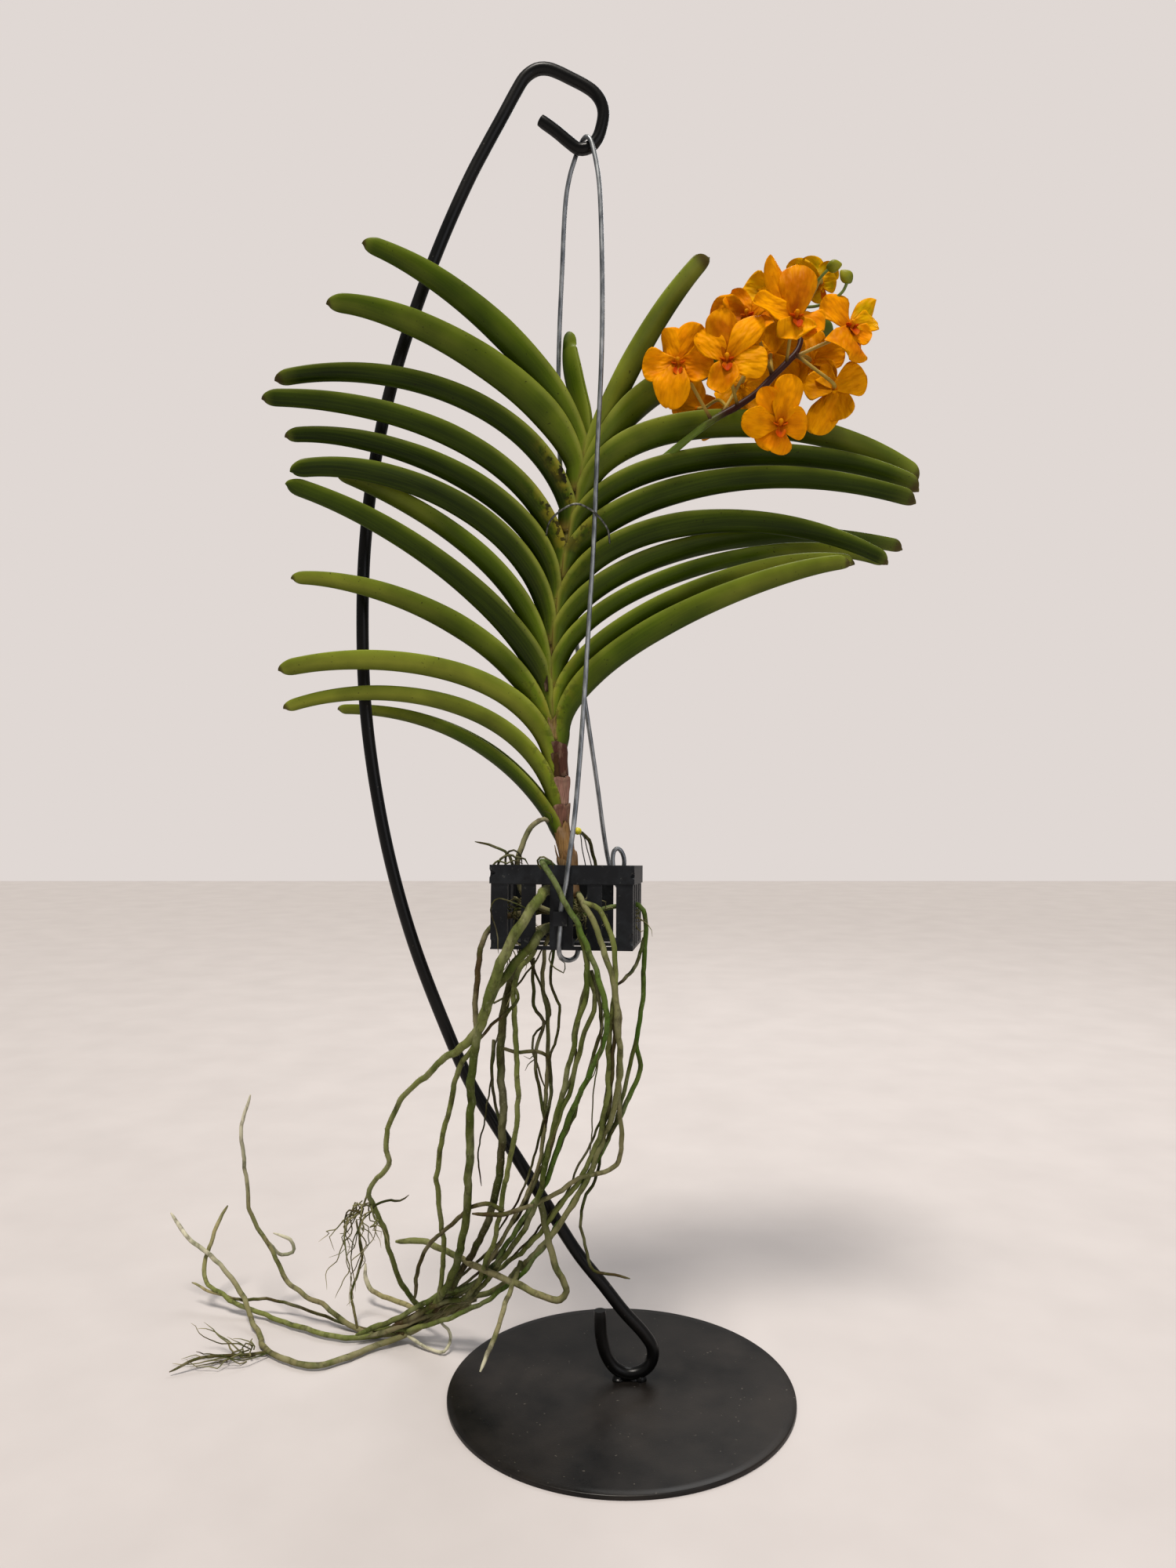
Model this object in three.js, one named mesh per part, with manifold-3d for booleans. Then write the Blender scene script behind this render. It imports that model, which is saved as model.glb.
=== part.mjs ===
// Vanda orchid in a slatted basket, hung by a galvanised wire from a bent rod stand.
// Millimetres, +Z up. The origin is the centre of the base plate's underside, +X is
// the side that the flower spike leans to, and -Y is the front.
import * as THREE from 'three';
import { mergeVertices } from 'three/addons/utils/BufferGeometryUtils.js';
import Module from 'manifold-3d';

const wasm = await Module();
wasm.setup();

// ---------------------------------------------------------------- driving sizes
const SEAT_GAP = 0.3;          // left between pieces that rest on or hold each other
const PLANE_Y = 10;            // upright plane that the rod and the stem stand in
const PLATE = { radius: 115.5, thick: 3, chamfer: 0.6 };
const ROD_RADIUS = 4.2;
const WIRE_RADIUS = 1.6;
const TIE_RADIUS = 0.65;
const STEM_RADIUS = 4.6;
const BASKET = {
  width: 91.5, height: 54, wall: 2.2, rim: 12, rimProud: 0.9, floor: 2,
  slot: 9.2, slotPlaces: [-30.5, -12, 12, 30.5], slotTop: 12.5, slotBottom: 2.5,
  window: 33, bar: 8, centre: [-34.5, 10, 351], turn: -6, tilt: 4,
};
const LEAF_THICK = 1.2;
const TEPAL_THICK = 0.9;

// ---------------------------------------------------------------- materials
const look = (color, roughness, metalness = 0) => (
  new THREE.MeshStandardMaterial({ color, roughness, metalness }));
const MATERIALS = {
  blackPaint: look(0x17181a, 0.45, 0.2),
  galvanised: look(0x8f9296, 0.4, 0.9),
  darkWire: look(0x3a3a38, 0.5, 0.8),
  blackPlastic: look(0x15171a, 0.55),
  oldSheath: look(0x7a5a48, 0.85),
  stem: look(0x6f7f3a, 0.6),
  leaf: look(0x3f5a1a, 0.45),
  spike: look(0x5a5a2a, 0.6),
  bloom: look(0xf08c00, 0.55),
  root: look(0x7f8560, 0.8),
};

// ---------------------------------------------------------------- solids
const vec = (x, y, z) => new THREE.Vector3(x, y, z);
const UP = vec(0, 0, 1);
const degrees = THREE.MathUtils.degToRad;
const mix = THREE.MathUtils.lerp;

function bare(geometry) {
  const copy = geometry.clone();
  for (const name of Object.keys(copy.attributes)) {
    if (name !== 'position') copy.deleteAttribute(name);
  }
  return mergeVertices(copy, 1e-4);
}

function asManifold(geometry) {
  const merged = bare(geometry);
  return new wasm.Manifold(new wasm.Mesh({
    numProp: 3,
    vertProperties: new Float32Array(merged.attributes.position.array),
    triVerts: new Uint32Array(merged.index.array),
  }));
}

function asGeometry(manifold) {
  const mesh = manifold.getMesh();
  const geometry = new THREE.BufferGeometry();
  const positions = new Float32Array(mesh.vertProperties);
  geometry.setAttribute('position', new THREE.BufferAttribute(positions, 3));
  geometry.setIndex(Array.from(mesh.triVerts));
  return geometry;
}

const join = (geometries) => asGeometry(
  geometries.map(asManifold).reduce((whole, piece) => whole.add(piece)));

function cut(geometry, tools) {
  const start = asManifold(geometry);
  return asGeometry(tools.map(asManifold).reduce((whole, tool) => whole.subtract(tool), start));
}

const box = (sizeX, sizeY, sizeZ, x, y, z) => (
  new THREE.BoxGeometry(sizeX, sizeY, sizeZ).translate(x, y, z));

function signedVolume(points, index) {
  let volume = 0;
  for (let i = 0; i < index.length; i += 3) {
    const [a, b, c] = [points[index[i]], points[index[i + 1]], points[index[i + 2]]];
    volume += a.dot(vec(0, 0, 0).crossVectors(b, c)) / 6;
  }
  return volume;
}

// A closed skin over rings of equal count, each end closed by the triangles in cap.
function loft(rings, cap) {
  const sides = rings[0].length;
  const points = rings.flat();
  const last = (rings.length - 1) * sides;
  const index = [];
  for (let ring = 0; ring < rings.length - 1; ring += 1) {
    for (let side = 0; side < sides; side += 1) {
      const here = ring * sides + side;
      const next = ring * sides + ((side + 1) % sides);
      index.push(here, next, here + sides, next, next + sides, here + sides);
    }
  }
  for (const [a, b, c] of cap) {
    index.push(c, b, a, last + a, last + b, last + c);
  }
  if (signedVolume(points, index) < 0) index.reverse();
  const geometry = new THREE.BufferGeometry().setFromPoints(points);
  geometry.setIndex(index);
  return geometry;
}

const fan = (sides) => Array.from({ length: sides - 2 }, (_, i) => [0, i + 1, i + 2]);

// A round bar along hand-set points. radiusAt takes 0..1 along the points. The steps
// follow the points, so tight bends, whose points are close, get short steps.
function bar(points, radiusAt, sides, stepsPerSpan = 1) {
  const curve = new THREE.CatmullRomCurve3(points.map((p) => vec(...p)), false, 'centripetal');
  const steps = (points.length - 1) * stepsPerSpan;
  const centres = Array.from({ length: steps + 1 }, (_, i) => curve.getPoint(i / steps));
  const rings = [];
  let across = null;
  for (let i = 0; i <= steps; i += 1) {
    const ahead = centres[Math.min(i + 1, steps)];
    const behind = centres[Math.max(i - 1, 0)];
    const along = ahead.clone().sub(behind).normalize();
    if (across === null) {
      const guide = Math.abs(along.y) < 0.9 ? vec(0, 1, 0) : vec(1, 0, 0);
      across = guide.clone().sub(along.clone().multiplyScalar(guide.dot(along))).normalize();
    } else {
      across = across.sub(along.clone().multiplyScalar(across.dot(along))).normalize();
    }
    const other = vec(0, 0, 0).crossVectors(along, across);
    const radius = radiusAt(i / steps);
    rings.push(Array.from({ length: sides }, (_, k) => {
      const turn = (k + 0.5) * 2 * Math.PI / sides;
      return centres[i].clone()
        .addScaledVector(across, radius * Math.cos(turn))
        .addScaledVector(other, radius * Math.sin(turn));
    }));
  }
  return loft(rings, fan(sides));
}

const taper = (radii) => (t) => {
  const place = t * (radii.length - 1);
  const low = Math.min(Math.floor(place), radii.length - 2);
  return mix(radii[low], radii[low + 1], place - low);
};

const orchid = new THREE.Group();

function part(name, geometry, material) {
  const mesh = new THREE.Mesh(geometry, material);
  mesh.name = name;
  orchid.add(mesh);
  return mesh;
}

// ---------------------------------------------------------------- stand
// Round plate, chamfered at its top edge.
const plateProfile = [
  [0, 0], [PLATE.radius, 0], [PLATE.radius, PLATE.thick - PLATE.chamfer],
  [PLATE.radius - PLATE.chamfer, PLATE.thick], [0, PLATE.thick],
].map(([r, z]) => new THREE.Vector2(r, z));
const plateTurned = new THREE.LatheGeometry(plateProfile, 48).rotateX(Math.PI / 2);
part('base_plate', plateTurned, MATERIALS.blackPaint);

// The rod's centre line, [x, z] in the upright plane, in the four lengths it is made of:
// hook, upper and lower bow, and the foot loop. SEAT_GAP stays between their flat ends.
const HOOK_LINE = [
  [-54, 855], [-43, 847], [-34, 839.5], [-28, 835.5], [-21.5, 836.5], [-16, 842], [-13, 850],
  [-11.5, 860], [-13.5, 868.5], [-18.5, 874], [-30, 880], [-42, 887], [-49, 889.7], [-54.5, 889.8],
  [-59.5, 888], [-65, 883.5], [-70, 875.5], [-80, 857],
];
const UPPER_BOW_LINE = [
  [-80, 857], [-91, 837], [-101.5, 817], [-119.5, 777], [-139, 726], [-156, 671], [-167, 618],
  [-173, 565], [-174.5, 510],
];
const LOWER_BOW_LINE = [
  [-174.5, 510], [-172.5, 458], [-166, 406], [-155.5, 353], [-140.5, 300], [-120.5, 247],
  [-101.5, 203.5], [-86, 178], [-68, 150], [-49, 120], [-28.5, 88], [-12, 67.5],
];
const FOOT_LINE = [
  [-12, 67.5], [2, 49.5], [16, 34], [21.5, 25], [21.5, 17.5], [18, 11.5], [11.5, 8], [4, 7.5], [-3.5, 11],
  [-9.5, 19.5], [-13, 32], [-14, 50],
];
function rodLength(line) {
  const points = line.map(([x, z]) => vec(x, PLANE_Y, z));
  const inward = (end, next) => end.add(next.clone().sub(end).setLength(SEAT_GAP / 2));
  inward(points[0], points[1]);
  inward(points.at(-1), points.at(-2));
  return bar(points.map((point) => point.toArray()), () => ROD_RADIUS, 8);
}
part('stand_hook', rodLength(HOOK_LINE), MATERIALS.blackPaint);
part('stand_upper_bow', rodLength(UPPER_BOW_LINE), MATERIALS.blackPaint);
part('stand_lower_bow', rodLength(LOWER_BOW_LINE), MATERIALS.blackPaint);
// Weld beads: two flat pads that stand on the plate and run up into the foot loop.
const weldHeight = 4;
const welds = [0, 14].map((x) => new THREE.CylinderGeometry(2.4, 4.4, weldHeight, 8)
  .rotateX(Math.PI / 2)
  .translate(x, PLANE_Y, PLATE.thick + SEAT_GAP + weldHeight / 2));
part('stand_foot', join([rodLength(FOOT_LINE), ...welds]), MATERIALS.blackPaint);

// ---------------------------------------------------------------- hanger wire
// One wire over the hook: a front leg to the basket's front bar, a back leg to its rim.
const FRONT_LEG = [
  [-18.5, 2.8, 832], [-16.5, 1.5, 822], [-14.5, 0, 807], [-13, -2, 771], [-12.5, -4, 718],
  [-13.5, -5.5, 676], [-15.5, -7, 634], [-18.5, -9, 561], [-21, -12, 520], [-23.5, -15, 478],
  [-27, -21, 426], [-31, -29, 381], [-33.5, -34.2, 362], [-36, -35.9, 343], [-39.2, -36.1, 326],
  [-39.5, -36.8, 316], [-40.4, -38.2, 304], [-40, -36, 297.5], [-37.5, -32.5, 294],
  [-33, -29, 293], [-29.5, -26, 295], [-28, -24.5, 301],
];
const BACK_LEG = [
  [-31, 16.6, 832], [-34, 18, 823], [-37, 20, 808], [-40, 25, 757], [-42, 29, 712], [-42.5, 31, 667],
  [-39.5, 34, 592], [-34.5, 38, 538], [-28.5, 43, 494], [-15.5, 54, 406], [-10.5, 60, 369],
  [-8, 63, 354], [-5.5, 64, 343], [-2.5, 62.8, 335], [0.2, 58, 331.5], [-0.5, 51, 333],
  [-3.3, 50.2, 343], [-4.4, 51, 353], [-3.2, 52, 358.5], [-0.5, 52.6, 360], [2.3, 53, 357],
  [3.5, 53.5, 351],
];
const OVER_HOOK = [
  [-29.5, 16.3, 836.5], [-28, 15.4, 839.2], [-26.5, 13.1, 841.4], [-25, 10, 842.2],
  [-23.2, 6.8, 842], [-21.5, 4.6, 840.2], [-20, 3.7, 837.5],
];
const hangerPoints = [...BACK_LEG].reverse().concat(OVER_HOOK, FRONT_LEG);
part('hanger_wire', bar(hangerPoints, () => WIRE_RADIUS, 6), MATERIALS.galvanised);

// Tie of thin wire that holds the stem to the front leg.
const TIE_LINE = [
  [-50, 1, 572], [-48, -6, 578.5], [-42.5, -10.5, 584], [-30, -12.2, 590], [-19.5, -11, 586],
  [-14, -10.2, 581], [-9, -8, 574], [-7.5, -2, 566],
];
part('tie_wire', bar(TIE_LINE, () => TIE_RADIUS, 6), MATERIALS.darkWire);

// ---------------------------------------------------------------- basket
// Square slatted basket in its own frame: x and y across, z up from its floor.
function basketGeometry() {
  const { width, height, wall, rim, rimProud, floor } = BASKET;
  const inner = width - 2 * wall;
  const outer = box(width, width, height, 0, 0, height / 2);
  const band = box(width + 2 * rimProud, width + 2 * rimProud, rim, 0, 0, height - rim / 2);
  const lugSize = { x: 9, y: 7, z: 9 };
  const lug = box(lugSize.x, lugSize.y, lugSize.z, 0, -width / 2 - lugSize.y / 2 + 1, 20);
  const hollow = box(inner, inner, height, 0, 0, height / 2 + floor);
  const slotHeight = height - BASKET.slotTop - BASKET.slotBottom;
  const slotMiddle = BASKET.slotBottom + slotHeight / 2;
  const slots = [];
  for (const place of BASKET.slotPlaces) {
    slots.push(box(BASKET.slot, width * 2, slotHeight, place, 0, slotMiddle));
    slots.push(box(width * 2, BASKET.slot, slotHeight, 0, place, slotMiddle));
  }
  const windows = [];
  for (const sideX of [-1, 1]) {
    for (const sideY of [-1, 1]) {
      const offset = (BASKET.window + BASKET.bar) / 2;
      windows.push(box(BASKET.window, BASKET.window, 10, sideX * offset, sideY * offset, 0));
    }
  }
  const eye = new THREE.CylinderGeometry(2.3, 2.3, 30, 8).rotateX(Math.PI / 2)
    .translate(0, -width / 2 - 2.6, 20);
  const body = join([outer, band]);
  const slatted = cut(body, [hollow, ...slots, ...windows]);
  return cut(join([slatted, lug]), [eye, box(inner, inner, height, 0, 0, height / 2 + floor)]);
}
const basket = part('basket', basketGeometry(), MATERIALS.blackPlastic);
basket.rotation.set(degrees(-BASKET.tilt), 0, degrees(BASKET.turn), 'ZYX');
basket.position.set(BASKET.centre[0], BASKET.centre[1], BASKET.centre[2] - BASKET.height);

// ---------------------------------------------------------------- stem
// The stem's axis, [x, z] in the upright plane, from its foot in the basket to its tip.
const STEM_AXIS = [
  [-32.5, 330], [-35.5, 353], [-40, 380], [-40.5, 406], [-42, 427], [-45.5, 448], [-47, 486],
  [-45, 512], [-42, 533], [-37, 565], [-31, 592], [-26, 618], [-23, 640], [-22, 650],
];
function stemXAt(z) {
  const above = Math.max(1, STEM_AXIS.findIndex(([, level]) => level >= z));
  const [x0, z0] = STEM_AXIS[above - 1];
  const [x1, z1] = STEM_AXIS[above];
  return mix(x0, x1, (z - z0) / (z1 - z0));
}

// Sheaths lap round the stem like cups: each swells upwards and then steps back in.
function stemPiece(from, to, cups, slim) {
  const rows = [];
  for (let cup = 0; cup < cups; cup += 1) {
    const low = mix(from, to, cup / cups);
    const high = mix(from, to, (cup + 0.92) / cups);
    rows.push([low, STEM_RADIUS - slim], [high, STEM_RADIUS]);
  }
  rows.push([to, STEM_RADIUS - slim - 1.2]);
  const sides = 8;
  const rings = rows.map(([z, radius]) => Array.from({ length: sides }, (_, k) => {
    const turn = k * 2 * Math.PI / sides;
    return vec(stemXAt(z) + radius * Math.cos(turn), PLANE_Y + radius * 0.85 * Math.sin(turn), z);
  }));
  return loft(rings, fan(sides));
}
const STEM_FOOT = 328.8;
const STEM_SPLIT = 436;        // the green sheaths end here and the old brown ones start
const STEM_TOP = 650;
const oldWoodGeometry = stemPiece(STEM_FOOT, STEM_SPLIT - SEAT_GAP, 7, 0.9);
const oldWood = part('stem_old_wood', oldWoodGeometry, MATERIALS.oldSheath);
const greenStem = part('stem_green', stemPiece(STEM_SPLIT, STEM_TOP, 11, 0.6), MATERIALS.stem);

// ---------------------------------------------------------------- leaves
// Each folded blade is a V channel along an arc. A row gives the height of its foot on
// the stem, its tip, the slope of the arc at both ends in degrees, how far each slope
// holds as a share of the chord, and the depth of the fold at mid length and at the tip.
const LEAVES = {
  leaf_left_01: [637, [-168, -20, 757], 68, 13, 0.32, 0.27, 17, 11],
  leaf_left_02: [621, [-188, -34, 712], 72, -9, 0.3, 0.25, 19, 13],
  leaf_left_03: [594, [-223, -26, 666], 72, -18, 0.37, 0.35, 15, 11],
  leaf_left_04: [565, [-228, -38, 650], 72, -7, 0.39, 0.28, 15, 12],
  leaf_left_05: [541, [-216, -28, 629], 82, -11, 0.33, 0.29, 15, 9],
  leaf_left_06: [518, [-208, -46, 602], 79, -17, 0.39, 0.29, 14, 11],
  leaf_left_07: [486, [-185, -22, 608], 82, 18, 0.35, 0.33, 13, 10],
  leaf_left_08: [464, [-212, -42, 595], 87, 13, 0.2, 0.39, 15, 11],
  leaf_left_09: [444, [-212, -28, 538], 73, -5, 0.35, 0.27, 14, 8],
  leaf_left_10: [421, [-217, -40, 478], 80, -17, 0.36, 0.32, 13, 11],
  leaf_left_11: [398, [-218, -24, 455], 73, -22, 0.38, 0.34, 11, 8],
  leaf_left_12: [380, [-196, 36, 458], 61, -1, 0.23, 0.49, 10, 7],
  leaf_centre: [650.5, [-34, 20, 716], 90, 100, 0.3, 0.3, 8, 7],
  leaf_right_01: [631, [59, 18, 767], 71, 47, 0.18, 0.35, 15, 12],
  leaf_right_02: [618, [157, 78, 744], 67, 28, 0.38, 0.32, 19, 16],
  leaf_right_03: [605, [207, 28, 617], 71, -36, 0.28, 0.33, 17, 12],
  leaf_right_04: [584, [202, 10, 606], 61, -30, 0.26, 0.29, 14, 11],
  leaf_right_05: [562, [195, -6, 594], 56, -19, 0.18, 0.51, 16, 11],
  leaf_right_06: [533, [175, -12, 552], 65, -32, 0.31, 0.36, 15, 9],
  leaf_right_07: [512, [198, 38, 572], 64, -10, 0.2, 0.48, 14, 9],
  leaf_right_08: [488, [179, 14, 557], 72, -23, 0.25, 0.28, 11, 8],
  leaf_right_09: [464, [154, -6, 553], 77, -12, 0.23, 0.28, 12, 8],
  leaf_right_10: [442, [147, -26, 549], 88, -2, 0.26, 0.18, 15, 9],
};
const LEAF_STATIONS = [0, 0.05, 0.12, 0.22, 0.35, 0.5, 0.65, 0.78, 0.88, 0.96, 1];
const FOOT_REACH = [3, 11];    // nearest and farthest place of a foot from the stem's axis
const CENTRE_OFFSET = -1.6;    // the same for the leaf that stands on the stem's tip
const FOOT_DEPTH = 6;          // depth of the fold where it clasps the stem
const FOOT_GAPE = 6.2;         // half its opening there

function leafGeometry(row, footOffset) {
  const [footZ, tip, footSlope, tipSlope, footHold, tipHold, depthMid, depthTip] = row;
  const end = vec(...tip);
  const stemX = stemXAt(Math.min(footZ, STEM_TOP));
  const side = Math.sign(end.x - stemX);
  const offset = footZ > STEM_TOP ? CENTRE_OFFSET : side * footOffset;
  const foot = vec(stemX + offset, PLANE_Y, footZ);
  const flat = vec(end.x - foot.x, end.y - foot.y, 0);
  const chord = end.distanceTo(foot);
  const heading = flat.clone().normalize();
  const outward = footZ > STEM_TOP ? heading : vec(side, 0, 0);
  const lean = (direction, slope) => direction.clone().multiplyScalar(Math.cos(degrees(slope)))
    .addScaledVector(UP, Math.sin(degrees(slope)));
  const second = foot.clone().addScaledVector(lean(outward, footSlope), footHold * chord);
  const third = end.clone().addScaledVector(lean(heading, tipSlope), -tipHold * chord);
  const arc = new THREE.CubicBezierCurve3(foot, second, third, end);
  const rings = LEAF_STATIONS.map((s) => {
    const centre = arc.getPoint(s);
    const along = arc.getTangent(s);
    const level = vec(along.x, along.y, 0);
    if (level.length() < 0.2) level.copy(s < 0.5 ? outward : heading);
    else if (level.dot(heading) < 0) level.negate();
    const across = vec(0, 0, 0).crossVectors(UP, level).normalize();
    const over = vec(0, 0, 0).crossVectors(along, across).normalize();
    if (over.z < 0) over.negate();
    const opened = Math.min(1, s / 0.22);
    const slimmed = s < 0.45 ? 0 : (s - 0.45) / 0.55;
    let depth = mix(FOOT_DEPTH, mix(depthMid, depthTip, slimmed), opened);
    let gape = mix(FOOT_GAPE, mix(0.52 * depthMid, 0.5 * depthTip, slimmed), opened);
    if (s > 0.97) {
      depth *= 0.5;
      gape *= 0.6;
    }
    const fold = Math.atan2(gape, depth);
    const keel = centre.clone().addScaledVector(over, -depth / 2);
    const margin = centre.clone().addScaledVector(over, depth / 2);
    const inKeel = keel.clone().addScaledVector(over, LEAF_THICK / Math.sin(fold));
    const inner = gape - LEAF_THICK / Math.cos(fold);
    return [
      keel, margin.clone().addScaledVector(across, gape), margin.clone().addScaledVector(across, inner),
      inKeel, margin.clone().addScaledVector(across, -inner), margin.clone().addScaledVector(across, -gape),
    ];
  });
  return loft(rings, [[0, 1, 2], [0, 2, 3], [0, 3, 4], [0, 4, 5]]);
}

// Moves a foot in towards the stem until it lies SEAT_GAP from it.
const stemManifolds = [oldWood, greenStem].map((mesh) => asManifold(mesh.geometry));
function seatedLeaf(row) {
  let [near, far] = FOOT_REACH;
  for (let step = 0; step < 7; step += 1) {
    const middle = (near + far) / 2;
    const leaf = asManifold(leafGeometry(row, middle));
    const gap = Math.min(...stemManifolds.map((stem) => leaf.minGap(stem, 3)));
    if (gap < SEAT_GAP) near = middle;
    else far = middle;
  }
  return leafGeometry(row, far);
}
for (const [name, row] of Object.entries(LEAVES)) {
  part(name, seatedLeaf(row), MATERIALS.leaf);
}

// ---------------------------------------------------------------- blooms
// Each bloom is set by its hub, the way it faces (turn to the right, lift, and the lean
// of its top sepal to the left, in degrees), its reach and how far it cups forward.
const BLOOMS = {
  bloom_01: { hub: [37, -26, 677], turn: -18, lift: 0, lean: 25, reach: 25, cup: 6 },
  bloom_02: { hub: [66, -40, 679], turn: -8, lift: 5, lean: 10, reach: 25, cup: 6 },
  bloom_03: { hub: [108, -36, 709], turn: 5, lift: 5, lean: 23, reach: 26, cup: 6 },
  bloom_04: { hub: [84, -12, 720], turn: -35, lift: 20, lean: 20, reach: 24, cup: 6 },
  bloom_05: { hub: [103, 12, 731], turn: -20, lift: 30, lean: 0, reach: 23, cup: 10 },
  bloom_06: { hub: [100, -36, 637], turn: 0, lift: -10, lean: 22, reach: 25, cup: 6 },
  bloom_07: { hub: [152, -12, 705], turn: 34, lift: 20, lean: 0, reach: 23, cup: 12 },
  bloom_08: { hub: [126, 8, 743], turn: -10, lift: 60, lean: 0, reach: 16, cup: 40 },
  bloom_09: { hub: [142, -4, 671], turn: 120, lift: -10, lean: 0, reach: 24, cup: 8 },
  bloom_10: {
    hub: [54, 33, 667], turn: -150, lift: 10, lean: 0, reach: 17, cup: 8, pedicelVia: [66, 14, 667],
  },
  bloom_11: { hub: [104, 26, 702], turn: 170, lift: 20, lean: 0, reach: 23, cup: 8 },
  bloom_12: { hub: [84, 24, 682], turn: 180, lift: -10, lean: 0, reach: 20, cup: 8 },
  bloom_13: { hub: [132, 26, 698], turn: 150, lift: 0, lean: 0, reach: 23, cup: 8 },
};
// Five tepals: [angle from the top sepal, reach share, width share, layer in front].
const TEPALS = [
  [0, 1, 0.72, -0.9], [58, 0.98, 0.8, 0.9], [-58, 0.98, 0.8, 0.9],
  [138, 1.04, 0.82, -0.9], [-138, 1.04, 0.82, -0.9],
];
const TEPAL_OUTLINE = [[0.06, 0.12], [0.34, 0.62], [0.72, 1], [1, 0.5]];   // [along, width]
const HUB_RADIUS = 2.4;

function bloomFrame({ turn, lift, lean }) {
  const [a, b, c] = [degrees(turn), degrees(lift), degrees(lean)];
  const face = vec(Math.sin(a) * Math.cos(b), -Math.cos(a) * Math.cos(b), Math.sin(b));
  const right = vec(Math.cos(a), Math.sin(a), 0);
  const rise = vec(0, 0, 0).crossVectors(face, right);
  const top = rise.clone().multiplyScalar(Math.cos(c)).addScaledVector(right, -Math.sin(c));
  const beside = right.clone().multiplyScalar(Math.cos(c)).addScaledVector(rise, Math.sin(c));
  return { face, top, beside };
}

function tepalGeometry(frame, hub, reach, cup, [angle, share, width, layer]) {
  const { face, top, beside } = frame;
  const turned = degrees(angle);
  const out = top.clone().multiplyScalar(Math.cos(turned)).addScaledVector(beside, -Math.sin(turned));
  const across = vec(0, 0, 0).crossVectors(face, out);
  const length = reach * share;
  const rings = TEPAL_OUTLINE.map(([along, spread]) => {
    const half = spread * width * length / 2;
    const forward = layer + length * (Math.sin(degrees(cup)) * along - 0.12 * along * along);
    const middle = hub.clone().addScaledVector(out, length * along).addScaledVector(face, forward);
    const arch = 0.14 * half;
    const point = (aside, front) => middle.clone()
      .addScaledVector(across, aside * half)
      .addScaledVector(face, front - Math.abs(aside) * arch);
    const skin = TEPAL_THICK / 2;
    const under = [point(-1, -skin), point(0, -skin), point(1, -skin)];
    return [...under, point(1, skin), point(0, skin), point(-1, skin)];
  });
  return loft(rings, [[0, 1, 4], [0, 4, 5], [1, 2, 3], [1, 3, 4]]);
}

function bloomGeometry(row) {
  const frame = bloomFrame(row);
  const { face, top } = frame;
  const hub = vec(...row.hub);
  const at = (front, rise) => hub.clone().addScaledVector(face, front).addScaledVector(top, rise)
    .toArray();
  const tepals = TEPALS.map((tepal) => tepalGeometry(frame, hub, row.reach, row.cup, tepal));
  const column = bar([at(-2.2, 0), at(4.5, 1)], taper([HUB_RADIUS, 1.6]), 5);
  const lip = bar([at(1, -1), at(5, -4), at(5.5, -8)], taper([1.2, 2.6, 1.2]), 4);
  return join([...tepals, column, lip]);
}
for (const [name, row] of Object.entries(BLOOMS)) {
  part(name, bloomGeometry(row), MATERIALS.bloom);
}

// ---------------------------------------------------------------- flower spike
const SPIKE_LINE = [
  [-24, 10, 593], [-14, 10, 605], [0, 9, 613], [12, 7, 620], [25, 5, 628], [36, 0, 631],
  [44, -4, 633], [52, -6, 638], [59, -7, 645], [66, -7, 650], [77, -7, 656], [90, -8, 665],
  [100, -8, 675], [109, -8, 684], [118, -8, 691], [126, -8, 698], [131, -8, 706], [133, -8, 716],
  [134, -8, 727], [134, -9, 738],
];
const SPIKE_RADII = [1.9, 1.8, 1.7, 1.6, 1.6, 1.5, 1.2, 0.9];
const PEDICEL_RADIUS = 1;
// Where each pedicel leaves the spike, in the order of the blooms.
const PEDICEL_ROOTS = [
  [60, -7, 646], [77, -7, 656], [109, -8, 684], [100, -8, 675], [131, -8, 706], [90, -8, 665],
  [126, -8, 698], [133, -8, 716], [118, -8, 691], [72, -7, 653], [100, -8, 675], [66, -7, 650],
  [118, -8, 691],
];
function pedicelGeometry(row, root) {
  const { face } = bloomFrame(row);
  const hub = vec(...row.hub);
  const end = hub.clone().addScaledVector(face, -2.2 - SEAT_GAP);
  const before = end.clone().addScaledVector(face, -6);
  const middle = row.pedicelVia ?? vec(...root).lerp(before, 0.55).toArray();
  return bar([root, middle, before.toArray(), end.toArray()], () => PEDICEL_RADIUS, 5);
}
const pedicels = Object.values(BLOOMS).map((row, i) => pedicelGeometry(row, PEDICEL_ROOTS[i]));
const BUDS = [
  { root: [134, -9, 738], tip: [140, -13, 747], size: 4.4 },
  { root: [134, -8, 728], tip: [149, -14, 741], size: 4.4 },
];
const budGeometries = BUDS.flatMap(({ root, tip, size }) => [
  bar([root, tip], () => 0.8, 5),
  new THREE.IcosahedronGeometry(size, 1).scale(1.15, 0.85, 0.95).translate(...tip),
]);
const spikeBar = bar(SPIKE_LINE, taper(SPIKE_RADII), 6);
part('flower_spike', join([spikeBar, ...pedicels, ...budGeometries]), MATERIALS.spike);

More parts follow.
